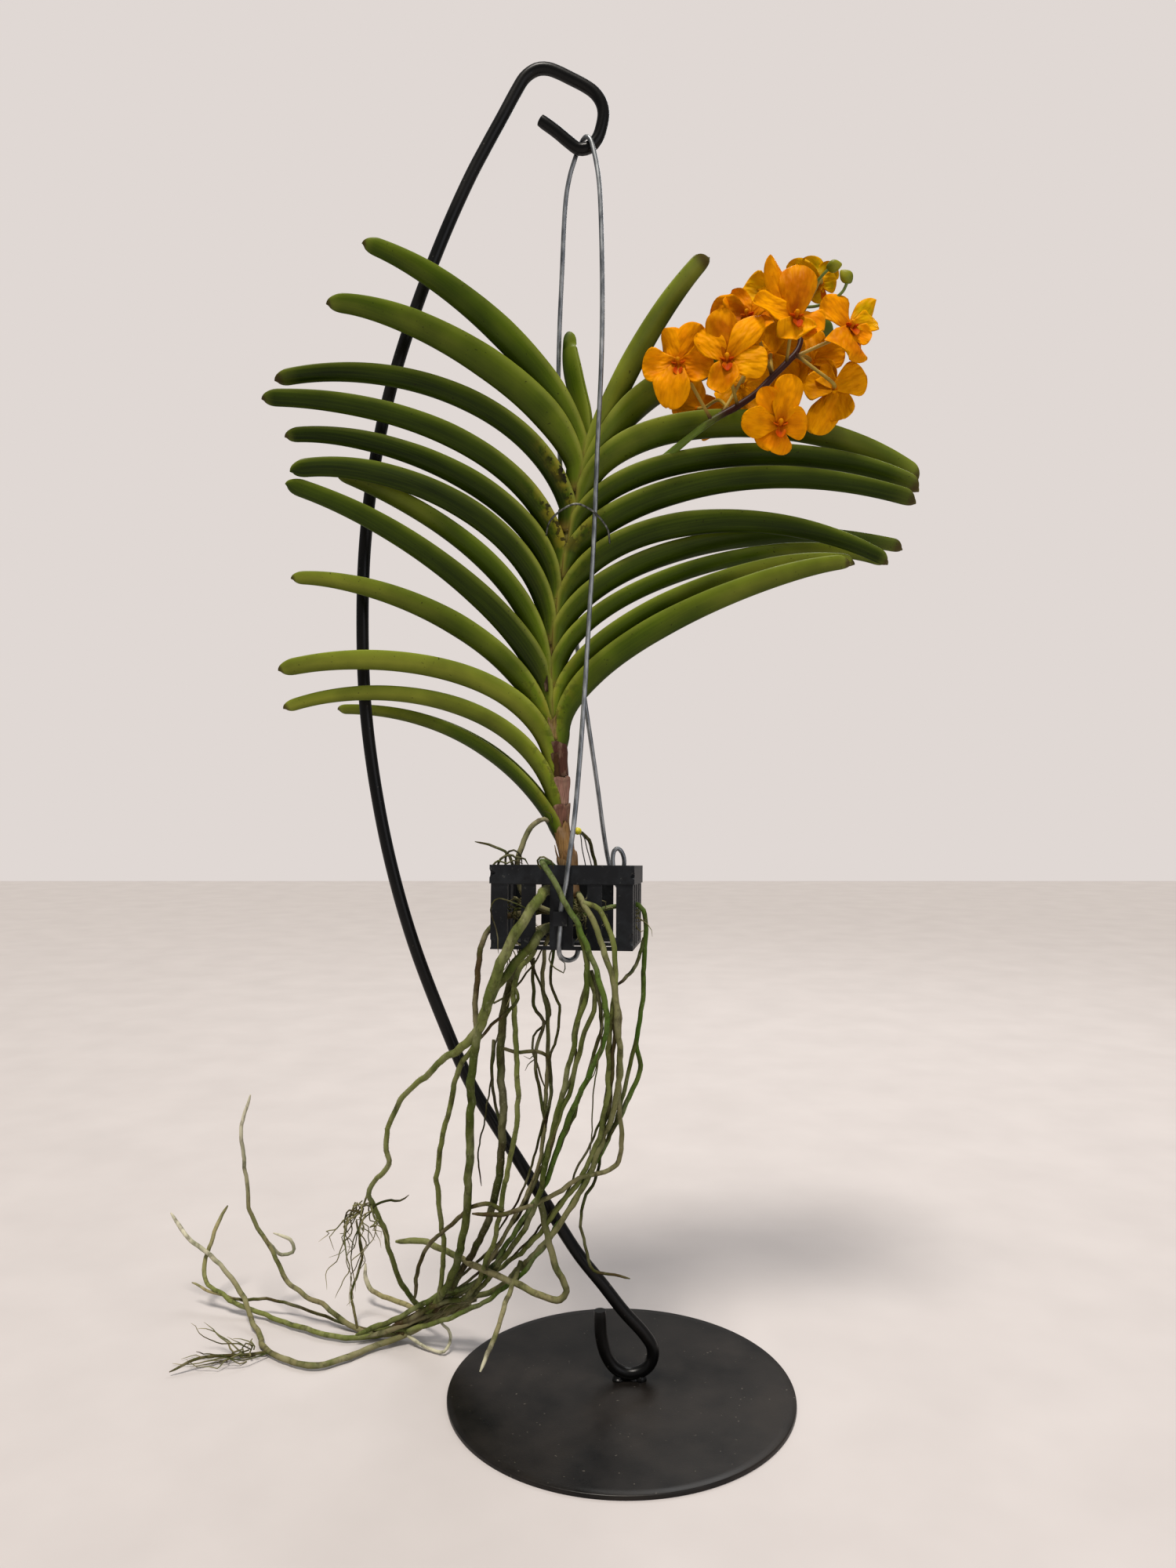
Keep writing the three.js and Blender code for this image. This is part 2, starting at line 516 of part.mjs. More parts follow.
// ---------------------------------------------------------------- roots
// Aerial roots, each by its radii and its own route. All spring from the crown under the
// stem or from another root, pass out through the basket's slots or floor, and trail
// down past the rod to the surface behind the plate on the left.
const CROWN = [[-32.5, 10, 328], [-32, 9, 322], [-31, 8, 314]];
const ROOTS = {
  arch: [[1.9, 1.7], [[-30, 8, 318], [-50, 4, 322], [-66, 0, 334], [-68, -1, 352], [-62.5, 1, 367],
    [-57.5, 3, 374.5], [-52, 6, 375.5], [-47.2, 8, 371]]],
  thickLeft: [[3.4, 3.3, 3.2, 3.5, 3.2, 2.8, 2.5, 2.3, 2], [[-31, 6, 320], [-42, -14, 334],
    [-50.5, -28, 337], [-52, -40, 334], [-60, -45, 325], [-71, -44, 305], [-83, -39, 276],
    [-95, -26, 244], [-120, -10, 222], [-144, 7, 197], [-158, 16, 174], [-159, 21, 150],
    [-173, 30, 122], [-171, 33, 111], [-166, 38, 96], [-161, 49, 69], [-152, 62, 38], [-131, 70, 13]]],
  thickGreen: [[2.8, 2.8], [[-30, 6, 318], [-44, -14, 313], [-51, -32, 311], [-55, -40, 306],
    [-70, -38, 290], [-88, -31, 262], [-96, -25, 229], [-99, -14, 190], [-101, -4, 145],
    [-106, 11, 103], [-118, 36, 60], [-144, 66, 18]]],
  leftLoop: [[1.8, 1.7], [[-95, -26, 238], [-107, -13, 218], [-114, -6, 190], [-123, 5, 153],
    [-124, 15, 126], [-122, 31, 84], [-128, 50, 38]]],
  hairyLeft: [[2, 1.8], [[-32, 8, 318], [-66, 4, 320], [-80, 2.5, 316], [-90, -3, 306],
    [-93, -14, 291], [-95, -22, 267], [-95, -24, 238]]],
  brownThick: [[2.8, 2.8], [[-31, 6, 317], [-56, -4, 308], [-63, -8, 298], [-74, -12, 272],
    [-79, -14, 236], [-78, -14, 185], [-81, -6, 146], [-90, 13, 108], [-110, 38, 65], [-132, 60, 26]]],
  greyGreen: [[1.8, 1.7], [[-30, 5, 317], [-52, -8, 307], [-56, -12, 296], [-68, -18, 282],
    [-70, -22, 259], [-68, -24, 218], [-69, -20, 181], [-76, -10, 148], [-87, 11, 93], [-107, 40, 46]]],
  midThin: [[1.4, 1.4], [[-30, 6, 316], [-48, -4, 305], [-52, -6, 281], [-49, -7, 255],
    [-49, -10, 215], [-53, -10, 162], [-63, -3, 132], [-81, 11, 97], [-105, 42, 50]]],
  crossTwig: [[1.1, 1.1], [[-72, -17, 277], [-67, -26, 267], [-84, -28, 250], [-95, -26, 238]]],
  innerTwig: [[1.2, 1.1], [[-58, -12, 292], [-57, -15, 261], [-51, -16, 251], [-57, -16, 227],
    [-53, -14, 203], [-51, -11, 180], [-53, -10, 162]]],
  levelTwig: [[1.2, 1.2], [[-79, -14, 233], [-66, -20, 232], [-49, -13, 229], [-46, -13, 208],
    [-50, -12, 180]]],
  overRim: [[1.9, 1.8, 1.8, 2], [[-30, 5, 320], [-38, -2, 338], [-46, -8, 352], [-49, -20, 358],
    [-48, -32, 358.5], [-45, -40, 351], [-42, -43, 343], [-37, -43.5, 334], [-27, -44, 314],
    [-16, -46, 286], [-10, -45, 253], [-19, -39, 227], [-35, -26, 189], [-49, -12, 147],
    [-70, 4, 107], [-99, 38, 57]]],
  paleRight: [[1.9, 2], [[-27, 6, 322], [-28, -18, 334], [-27.3, -32, 334], [-26, -40, 331],
    [-19, -45, 321], [-13, -46, 303], [-6, -46, 283], [-3, -41, 252], [-3, -24, 203],
    [-12, -15, 175], [-28, -8, 135], [-41, -4, 114], [-56, 8, 92], [-70, 26, 71], [-89, 48, 47]]],
  paleBranch: [[1.7, 1.7], [[-25, -41, 331], [-15, -42, 327], [-6, -46, 303], [-5, -44, 280],
    [-8, -36, 247], [-9, -26, 209], [-16, -14, 172], [-30, -7, 141], [-49, 0, 113], [-59, 8, 98],
    [-77, 32, 74]]],
  throughSlot: [[1.8, 1.8], [[-28, 4, 318], [-28.5, -18, 318], [-28.3, -33, 316], [-27, -41, 311],
    [-22, -43, 285], [-29, -40, 250], [-35, -35, 221], [-43, -27, 189], [-49, -18, 160],
    [-59, -5, 121], [-81, 17, 81], [-112, 54, 35]]],
  sideStep: [[1.6, 1.6], [[-23, -42, 292], [-18, -36, 268], [-26, -32, 240], [-35, -27, 206],
    [-44, -23, 179], [-49, -18, 158]]],
  outerRight: [[1.6, 1.6, 1.6, 1.8], [[-26, 6, 318], [-4, 0, 324], [8, -6.5, 327], [14, -8, 322],
    [15, -7, 302], [14, -6, 263], [10, -6, 237], [13, -7, 221], [2, -9, 193], [-14, -9, 162],
    [-27, -7, 139], [-48, 3, 101], [-70, 17, 69], [-105, 37, 38], [-146, 60, 14], [-172, 72, 4]]],
  outerFork: [[1.4, 1.3], [[10, -6, 237], [7, -9, 225], [4, -11, 212], [-2, -14, 188], [-10, -13, 171]]],
  darkHook: [[1.2, 1.2], [[15, -7, 304], [10, -18, 290], [4, -32, 283], [-4, -43, 279]]],
  elbow: [[1.6, 1.6], [[-5, -44, 283], [-2, -34, 253], [-2, -22, 200], [-3, -13, 157],
    [-25, -11, 147], [-45, -9, 135], [-64, -5, 126], [-80, -5, 120], [-99, -5, 121]]],
  brownInner: [[1.4, 1.4], [[-5, -43, 270], [-6, -30, 226], [-10, -16, 188], [-19, -10, 156],
    [-28, -6, 133]]],
  curlingTip: [[1.1, 1], [[-13, -10, 165], [-18, -6, 143], [-26, -3, 122], [-23, 0, 93], [-18, 0, 82],
    [-4, -1, 79], [6, -3, 77]]],
  lowLoop: [[2.3, 2.2], [[-54, 0, 128], [-50, 0, 108], [-44, 1, 86], [-37, 3, 66], [-41, 4, 59],
    [-54, 5, 62], [-81, 16, 70], [-110, 35, 74], [-140, 54, 78], [-160, 56, 78]]],
  tipOnPlate: [[1.8, 1.6], [[-68, 22, 78], [-73, 10, 66], [-79, -5, 55], [-84, -22, 44], [-91, -32, 30]]],
  archedBrown: [[1.5, 1.4], [[-78, -4, 122], [-88, -2, 127], [-99, 4, 122], [-116, 18, 105],
    [-132, 28, 88], [-141, 40, 67], [-147, 60, 34]]],
  floorUpright: [[2.1, 1.9, 1.6, 1.4], [[-107, 60, 32], [-143, 66, 13], [-171, 72, 3.6], [-196, 83, 4],
    [-221, 91, 17], [-246, 99, 27], [-265, 112, 51], [-283, 122, 72], [-290, 129, 106],
    [-293, 130, 136], [-286, 130, 163]]],
  floorFar: [[1.9, 1.8, 1.5], [[-131, 68, 20], [-166, 74, 4], [-198, 68, 3.5], [-227, 78, 4],
    [-261, 98, 4], [-293, 111, 10], [-322, 127, 24], [-321, 134, 38], [-315, 145, 60], [-310, 150, 69]]],
  floorNear: [[2.1, 2.1, 1.9, 1.6], [[-118, 58, 32], [-153, 64, 8], [-178, 52, 3.5], [-192, 38, 3.5],
    [-212, 28, 3.5], [-247, 46, 3.5], [-268, 82, 4], [-291, 112, 22], [-315, 127, 38],
    [-336, 134, 49], [-352, 140, 67]]],
  floorThin: [[1.2, 1.1], [[-155, 62, 9], [-194, 84, 3], [-230, 102, 6], [-264, 110, 12],
    [-296, 113, 12], [-331, 128, 17]]],
  whiteCurl: [[1.4, 1.3], [[-268, 114, 54], [-259, 124, 40], [-251, 124, 42], [-253, 123, 53],
    [-266, 122, 58]]],
  whiteTip: [[1.4, 1.3], [[-133, 70, 18], [-160, 105, 10], [-193, 125, 15], [-196, 130, 31]]],
  deadTuft: [[1, 1], [[-192, 80, 4], [-200, 97, 22], [-192, 96, 52], [-195, 90, 81]]],
  deadTail: [[1.1, 1], [[-248, 47, 3.5], [-266, 44, 2.5], [-291, 29, 8], [-309, 20, 3]]],
  whiteLoop: [[1.2, 1.1], [[-153, 64, 7], [-138, 54, 3], [-124, 48, 3], [-121, 56, 9], [-131, 64, 20]]],
};
const rootBars = Object.values(ROOTS).map(([radii, route]) => (
  bar(route, taper(radii), radii[0] > 1.5 ? 5 : 4)));
const crown = bar(CROWN, taper([5.5, 6.5, 4.5]), 7);
part('aerial_roots', join([crown, ...rootBars]), MATERIALS.root);

export default orchid;
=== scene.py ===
"""Finish of a vanda orchid that hangs in a slatted basket from a bent rod stand.

Tables are in millimetres in the frame's own axes; meshes are made in metres.
"""

import math
import random

import bmesh
import bpy
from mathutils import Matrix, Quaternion, Vector, noise


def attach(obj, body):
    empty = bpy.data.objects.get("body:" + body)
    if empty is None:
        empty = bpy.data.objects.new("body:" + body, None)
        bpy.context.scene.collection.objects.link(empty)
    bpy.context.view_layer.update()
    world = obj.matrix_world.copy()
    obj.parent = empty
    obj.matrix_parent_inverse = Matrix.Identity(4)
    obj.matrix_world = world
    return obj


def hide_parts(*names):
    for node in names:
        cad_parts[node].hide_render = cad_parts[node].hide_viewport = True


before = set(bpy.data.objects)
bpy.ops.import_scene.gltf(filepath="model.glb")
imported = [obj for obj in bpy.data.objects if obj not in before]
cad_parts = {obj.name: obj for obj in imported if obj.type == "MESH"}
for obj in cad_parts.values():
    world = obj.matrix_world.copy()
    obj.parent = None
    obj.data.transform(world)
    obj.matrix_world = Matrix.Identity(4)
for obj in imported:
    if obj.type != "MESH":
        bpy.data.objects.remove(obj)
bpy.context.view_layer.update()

MM = 0.001
noise.seed_set(26)      # the vector noise starts from the clock otherwise
RIGHT, BACK, UP = Vector((1, 0, 0)), Vector((0, 1, 0)), Vector((0, 0, 1))
PLANE_Y = 10            # upright plane that the rod and the stem stand in
NONE = math.inf         # a pattern of this size doesn't change along that axis
MIX_BELOW, MIX_ABOVE, MIX_RESULT = 6, 7, 2      # the colour sockets of a Mix node


# ---------------------------------------------------------------- colours and nodes
def tint(code):
    """An sRGB hex colour as linear RGBA."""
    channels = [int(code[i:i + 2], 16) / 255 for i in (0, 2, 4)]
    return tuple(c / 12.92 if c <= 0.04045 else ((c + 0.055) / 1.055) ** 2.4 for c in channels) + (1.0,)


def between(low, high, share):
    """A number or a colour part of the way from low to high."""
    share = min(1.0, max(0.0, share))
    if isinstance(low, tuple):
        return tuple(a + (b - a) * share for a, b in zip(low, high))
    return low + (high - low) * share


def rise(low, high, value):
    """0 below low, 1 above high and smooth between them."""
    share = min(1.0, max(0.0, (value - low) / (high - low)))
    return share * share * (3 - 2 * share)


def add(tree, kind, inputs=None, **settings):
    """Adds a node. inputs maps a socket's name or number to a value or to another node's output."""
    made = tree.nodes.new(kind)
    for key, value in settings.items():
        setattr(made, key, value)
    for key, value in (inputs or {}).items():
        if isinstance(value, bpy.types.NodeSocket):
            tree.links.new(value, made.inputs[key])
        else:
            made.inputs[key].default_value = value
    return made


class Look:
    """A material under way: its tree, surface and colour, and where its patterns are read, in mm."""

    def __init__(self, name, code=None, **surface):
        self.material = bpy.data.materials.new(name)
        self.material.use_nodes = True
        self.tree = self.material.node_tree
        self.surface = self.tree.nodes["Principled BSDF"]
        for key, value in surface.items():
            self.surface.inputs[key.replace("_", " ")].default_value = value
        metres = add(self.tree, "ShaderNodeTexCoord").outputs["Object"]
        self.place = add(self.tree, "ShaderNodeVectorMath", {0: metres, "Scale": 1 / MM},
                         operation="SCALE").outputs[0]
        paint = add(self.tree, "ShaderNodeAttribute", attribute_name="paint").outputs["Color"]
        self.colour = tint(code) if code else paint
        self.grain = add(self.tree, "ShaderNodeAttribute", attribute_name="grain").outputs["Vector"]
        self.wear = add(self.tree, "ShaderNodeSeparateXYZ", {0: self.grain}).outputs["Z"]

    def patches(self, source, sizes, low, high, least=0.0, most=1.0, detail=2.0, roughness=0.5):
        """Least to most in soft patches, more of them as low and high fall.

        sizes is how large they are in mm, as one number or as three.
        """
        scale = [1 / size for size in (sizes if isinstance(sizes, tuple) else [sizes] * 3)]
        laid = add(self.tree, "ShaderNodeMapping", {"Vector": source, "Scale": scale})
        cloud = add(self.tree, "ShaderNodeTexNoise", {
            "Vector": laid.outputs[0], "Scale": 1.0, "Detail": detail, "Roughness": roughness})
        held = add(self.tree, "ShaderNodeMapRange", {
            "Value": cloud.outputs["Fac"], "From Min": low, "From Max": high,
            "To Min": least, "To Max": most})
        return held.outputs[0]

    def stain(self, code, *pattern, where=None, **shape):
        """Lays a colour over what is there in soft patches, and returns the patches."""
        share = self.patches(*pattern, **shape)
        if where is not None:
            share = add(self.tree, "ShaderNodeMath", {0: share, 1: where}, operation="MULTIPLY",
                        use_clamp=True).outputs[0]
        laid = add(self.tree, "ShaderNodeMix", {0: share, MIX_BELOW: self.colour, MIX_ABOVE: tint(code)},
                   data_type="RGBA")
        self.colour = laid.outputs[MIX_RESULT]
        return share

    def done(self, roughness=None, height=None, strength=0.3, depth=0.2):
        """Joins up the colour, the gloss and the bumps, which are depth mm deep."""
        self.tree.links.new(self.colour, self.surface.inputs["Base Color"])
        if roughness is not None:
            self.tree.links.new(roughness, self.surface.inputs["Roughness"])
        if height is not None:
            bump = add(self.tree, "ShaderNodeBump", {
                "Strength": strength, "Distance": depth * MM, "Height": height})
            self.tree.links.new(bump.outputs[0], self.surface.inputs["Normal"])
        return self.material


# ---------------------------------------------------------------- materials
# Living leaf: thick cuticle over soft tissue. It gives a satin skin with fine lengthwise
# veins, a broad soft gloss, slow changes of green, small dark specks and brown scars.
def waxy_leaf():
    look = Look("waxy strap leaf", Roughness=0.42, IOR=1.4, Specular_IOR_Level=0.15)
    look.stain("5C7208", look.grain, (7, 120, NONE), 0.42, 0.7, most=0.2)
    look.stain("162204", look.place, 34, 0.42, 0.7, most=0.4, detail=3)
    look.stain("7F9422", look.grain, (1.1, 70, NONE), 0.44, 0.7, most=0.07, detail=3)
    look.stain("1D1706", look.place, 1.8, 0.73, 0.77, most=0.7, detail=1)
    look.stain("8A7A22", look.place, (8, 8, 9), 0.42, 0.6, most=0.75, detail=3, where=look.wear)
    look.stain("140D07", look.place, (6, 6, 7), 0.53, 0.57, detail=4, roughness=0.6, where=look.wear)
    veins = look.patches(look.grain, (1.1, 70, NONE), 0.4, 0.66, detail=3)
    gloss = look.patches(look.place, 30, 0.3, 0.7, least=0.3, most=0.46, detail=3)
    return look.done(gloss, veins, strength=0.05, depth=0.2)


# Flower: soft waxy tepals full of pigment, nearly without shine. Fine darker veins and soft
# folds run out from the centre, and faint yellow clouds lie between them.
def waxy_petal():
    look = Look("waxy orange tepal", Roughness=0.5, IOR=1.35, Specular_IOR_Level=0.06)
    look.stain("B86000", look.grain, (1.2, 18, NONE), 0.46, 0.7, most=0.25, detail=1)
    look.stain("F5A200", look.place, 9, 0.42, 0.7, most=0.4, detail=1)
    # Darker orange clouds laid at random as painted shade.
    look.stain("A04C00", look.place, 8, 0.46, 0.72, most=0.35, detail=1)
    look.stain("9C3E00", look.place, 1.1, 0.68, 0.76, most=0.25, detail=1)
    crumple = look.patches(look.grain, (3.4, 9, NONE), 0.3, 0.7, detail=1)
    return look.done(None, crumple, strength=0.6, depth=1.4)


# Root skin: a spongy dead layer over green tissue. It is dull, clouded green and grey, with
# brown scurf and pale flecks.
def spongy_root():
    look = Look("spongy root skin", Roughness=0.8, IOR=1.35, Specular_IOR_Level=0.25)
    look.stain("9A9876", look.place, (14, 14, 30), 0.48, 0.7, most=0.45, detail=3)
    look.stain("33480C", look.place, (12, 12, 26), 0.48, 0.66, most=0.5)
    scurf = look.stain("281E10", look.place, (5, 5, 9), 0.5, 0.68, most=0.6, detail=3, roughness=0.65)
    look.stain("B0AE92", look.place, (1.5, 1.5, 2.2), 0.62, 0.74, most=0.22)
    return look.done(None, scurf, strength=0.6, depth=0.5)


# Root hairs: dry felted fuzz on the old roots. It is matt and pale grey-brown.
def root_fuzz():
    look = Look("dry root fuzz", "5E543C", Roughness=0.95, Specular_IOR_Level=0.1)
    look.stain("8A8062", look.place, 9, 0.4, 0.6)
    return look.done()


# Old sheath: the dry, papery base of a fallen leaf. It is matt and streaked lengthwise.
def papery_sheath():
    look = Look("dry papery sheath", Roughness=0.85, IOR=1.4, Specular_IOR_Level=0.2)
    streaks = look.stain("2E1F17", look.grain, (0.55, 12, NONE), 0.42, 0.64, most=0.45, detail=3,
                         roughness=0.6)
    look.stain("A58C72", look.place, (5, 5, 10), 0.5, 0.7, most=0.45, detail=3)
    return look.done(None, streaks, strength=0.7, depth=0.5)


# Flower stalk: smooth skin, green low down and stained purple-brown among the flowers.
def stalk_skin():
    look = Look("smooth flower stalk", Roughness=0.45, IOR=1.4, Specular_IOR_Level=0.3)
    stains = look.stain("331708", look.place, 5.5, 0.5, 0.68, most=0.45, detail=3,
                        where=look.wear)
    return look.done(None, stains, strength=0.1, depth=0.1)


# Sprayed satin enamel over steel: near black, an even soft gloss with a faint orange-peel
# ripple, a film of dust that lies thicker on the plate, and a few pale specks.
def satin_enamel(name, dust, least_dust, most_dust):
    look = Look(name, "050505", Roughness=0.36, IOR=1.33, Specular_IOR_Level=0.4)
    look.stain(dust, look.place, 70, 0.42 - least_dust, 0.7, most=most_dust, detail=5,
               roughness=0.6)
    look.stain("8A8378", look.place, 1.9, 0.85, 0.87, most=0.3, detail=0)
    peel = look.patches(look.place, 1.4, 0.3, 0.7, detail=1)
    gloss = look.patches(look.place, 70, 0.3, 0.7, least=0.26, most=0.46, detail=5)
    return look.done(gloss, peel, strength=0.12, depth=0.1)


# Galvanised steel wire: a dull zinc skin with soft spangle and grey bloom.
def galvanised_wire():
    look = Look("galvanised steel wire", "74787C", Metallic=1.0, Roughness=0.42)
    spangle = look.stain("B2B5B7", look.place, (3, 3, 11), 0.35, 0.7, detail=3)
    gloss = look.patches(look.place, (3, 3, 11), 0.3, 0.7, least=0.34, most=0.55, detail=3)
    return look.done(gloss, spangle, strength=0.15, depth=0.1)


# Thin binding wire, weathered dark.
def weathered_wire():
    look = Look("weathered binding wire", "3C3D3A", Metallic=0.9, Roughness=0.45)
    dull = look.stain("7C7D78", look.place, 2.5, 0.35, 0.7)
    return look.done(None, dull, strength=0.15, depth=0.1)


# Moulded polypropylene: blue-black, matt, with grey lime and dust left by watering.
def moulded_plastic():
    look = Look("moulded black polypropylene", "0B0D11", Roughness=0.52, IOR=1.4, Specular_IOR_Level=0.35)
    look.stain("292D31", look.place, 18, 0.45, 0.72, most=0.6, detail=5, roughness=0.65)
    lime = look.stain("6E706B", look.place, 3.8, 0.62, 0.75, most=0.4, detail=4, roughness=0.7)
    return look.done(None, lime, strength=0.2, depth=0.2)


# Yellow polyethylene bead, smooth and a little see-through.
def yellow_bead():
    look = Look("yellow moulded bead", "B5AC10", Roughness=0.35, IOR=1.5, Subsurface_Weight=0.1,
                Subsurface_Radius=(1.0, 0.9, 0.2), Subsurface_Scale=MM)
    uneven = look.stain("DDD32E", look.place, 2, 0.35, 0.7)
    return look.done(None, uneven, strength=0.1, depth=0.1)


LEAF = waxy_leaf()
PETAL = waxy_petal()
ROOT = spongy_root()
FUZZ = root_fuzz()
SHEATH = papery_sheath()
STALK = stalk_skin()
ENAMEL = satin_enamel("sprayed satin black enamel", "1C1815", 0, 0.5)
DUSTY_ENAMEL = satin_enamel("satin black enamel under fine dust", "2E2925", 0.12, 0.8)
ZINC = galvanised_wire()
BINDING = weathered_wire()
PLASTIC = moulded_plastic()
BEAD = yellow_bead()


# ---------------------------------------------------------------- mesh making
UNPAINTED = tint("808080")      # for the pieces whose material brings its own colour
NO_GRAIN = (0, 0, 0)


def in_scene(name, data):
    """A new object in the scene that holds a mesh, a lamp or a camera."""
    made = bpy.data.objects.new(name, data)
    bpy.context.scene.collection.objects.link(made)
    return made


# The values that a point may have: kind of attribute, and the name of its field.
FIELDS = {
    "radius": ("FLOAT", "value"), "paint": ("FLOAT_COLOR", "color"), "grain": ("FLOAT_VECTOR", "vector"),
}


def set_values(mesh, **columns):
    """Writes one value a point as named attributes."""
    for name, rows in columns.items():
        kind, field = FIELDS[name]
        flat = rows if kind == "FLOAT" else [number for row in rows for number in row]
        mesh.attributes.new(name, kind, "POINT").data.foreach_set(field, flat)


def dress(mesh, material):
    """Gives a mesh its material and smooth shading."""
    mesh.materials.append(material)
    mesh.polygons.foreach_set("use_smooth", [True] * len(mesh.polygons))


class Skin:
    """Points in millimetres with a paint colour and a grain vector each, and faces."""

    def __init__(self):
        self.points = []
        self.paint = []
        self.grain = []
        self.faces = []

    def loft(self, rings):
        """Closed skin over rings of equal count of (point, paint, grain), closed at each end."""
        count = len(rings[0])
        start = len(self.points)
        for ring in rings:
            for point, paint, grain in ring:
                self.points.append(point)
                self.paint.append(paint)
                self.grain.append(grain)
        for row in range(len(rings) - 1):
            low = start + row * count
            for i in range(count):
                j = (i + 1) % count
                self.faces.append((low + i, low + j, low + count + j, low + count + i))
        last = start + (len(rings) - 1) * count
        self.faces.append(tuple(range(start + count - 1, start - 1, -1)))
        self.faces.append(tuple(range(last, last + count)))

    def finish(self, name, material):
        mesh = bpy.data.meshes.new(name)
        mesh.from_pydata([p * MM for p in self.points], [], self.faces)
        set_values(mesh, paint=self.paint, grain=self.grain)
        dress(mesh, material)
        turned = bmesh.new()
        turned.from_mesh(mesh)
        bmesh.ops.recalc_face_normals(turned, faces=turned.faces)
        turned.to_mesh(mesh)
        turned.free()
        return in_scene(name, mesh)


def circle(centre, across, other, radius, sides, paint=UNPAINTED):
    """A ring of a skin, round a centre and in the plane of two directions."""
    turns = [k * math.tau / sides for k in range(sides)]
    return [(centre + (across * math.cos(a) + other * math.sin(a)) * radius, paint, NO_GRAIN) for a in turns]


def lofted(name, rings, material):
    """An object that is one closed skin over rings."""
    skin = Skin()
    skin.loft(rings)
    return skin.finish(name, material)


def turned_solid(name, centre, profile, sides, material):
    """A solid turned about an upright axis, from rows of radius and height."""
    rings = [circle(centre + UP * height, RIGHT, BACK, radius, sides) for radius, height in profile]
    return lofted(name, rings, material)


def keep_corners(made, degrees):
    """Marks the edges that bend more than some degrees as sharp, so that the shading breaks there."""
    shaped = bmesh.new()
    shaped.from_mesh(made.data)
    for edge in shaped.edges:
        edge.smooth = edge.calc_face_angle(0) < math.radians(degrees)
    shaped.to_mesh(made.data)
    shaped.free()


def stands_for(made, slot, *nodes):
    """A finished piece rides on the one body and takes the place of its CAD nodes."""
    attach(made, "root")
    if nodes:
        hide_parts(*nodes)


def through(points, step):
    """Smooth line through given points, with a point about every step mm.

    Each span is a cubic whose slopes at its ends allow for how far apart its neighbours lie.
    """
    points = [Vector(point) for point in points]
    ends = [2 * points[0] - points[1], *points, 2 * points[-1] - points[-2]]
    line = []
    for before, start, stop, after in zip(ends, ends[1:], ends[2:], ends[3:]):
        first = math.sqrt((start - before).length)
        span = math.sqrt((stop - start).length)
        last = math.sqrt((after - stop).length)
        chord = (stop - start) / span
        leave = ((start - before) / first - (stop - before) / (first + span) + chord) * span
        reach = (chord - (after - start) / (span + last) + (after - stop) / last) * span
        pieces = max(1, round((stop - start).length / step))
        for j in range(pieces):
            t = j / pieces
            line.append((2 * t ** 3 - 3 * t * t + 1) * start + (t ** 3 - 2 * t * t + t) * leave
                        + (3 * t * t - 2 * t ** 3) * stop + (t ** 3 - t * t) * reach)
    line.append(points[-1])
    return line


def along_table(values, share):
    """The value at a share of the way along a short list."""
    place = min(1.0, max(0.0, share)) * (len(values) - 1)
    low = min(int(place), len(values) - 2) if len(values) > 1 else 0
    return between(values[low], values[min(low + 1, len(values) - 1)], place - low)


# ---------------------------------------------------------------- geometry nodes
def new_tree(name, inputs):
    """A geometry tree with its named inputs: (tree, group input, group output)."""
    tree = bpy.data.node_groups.new(name, "GeometryNodeTree")
    tree.interface.new_socket("Geometry", in_out="OUTPUT", socket_type="NodeSocketGeometry")
    for label, kind in {"Geometry": "NodeSocketGeometry", **inputs}.items():
        tree.interface.new_socket(label, in_out="INPUT", socket_type=kind)
    return tree, add(tree, "NodeGroupInput"), add(tree, "NodeGroupOutput")


def close_tree(tree, given, kept, made):
    """Ends a tree: what it made turns into plain mesh and gets its material."""
    whole = add(tree, "GeometryNodeRealizeInstances", {"Geometry": made})
    dressed = add(tree, "GeometryNodeSetMaterial", {
        "Geometry": whole.outputs[0], "Material": given.outputs["Material"]})
    tree.links.new(dressed.outputs[0], kept.inputs["Geometry"])
    return tree


def tube_tree():
    """Round tube along each run of edges, as thick as the points' radius says."""
    tree, given, kept = new_tree("tube along a line", {
        "Sides": "NodeSocketInt", "Material": "NodeSocketMaterial"})
    curve = add(tree, "GeometryNodeMeshToCurve", {"Mesh": given.outputs["Geometry"]})
    profile = add(tree, "GeometryNodeCurvePrimitiveCircle", {
        "Resolution": given.outputs["Sides"], "Radius": 1.0})
    radius = add(tree, "GeometryNodeInputNamedAttribute", {"Name": "radius"}, data_type="FLOAT")
    tube = add(tree, "GeometryNodeCurveToMesh", {
        "Curve": curve.outputs[0], "Profile Curve": profile.outputs[0],
        "Scale": radius.outputs["Attribute"], "Fill Caps": True})
    smooth = add(tree, "GeometryNodeSetShadeSmooth", {"Geometry": tube.outputs[0]})
    return close_tree(tree, given, kept, smooth.outputs[0])


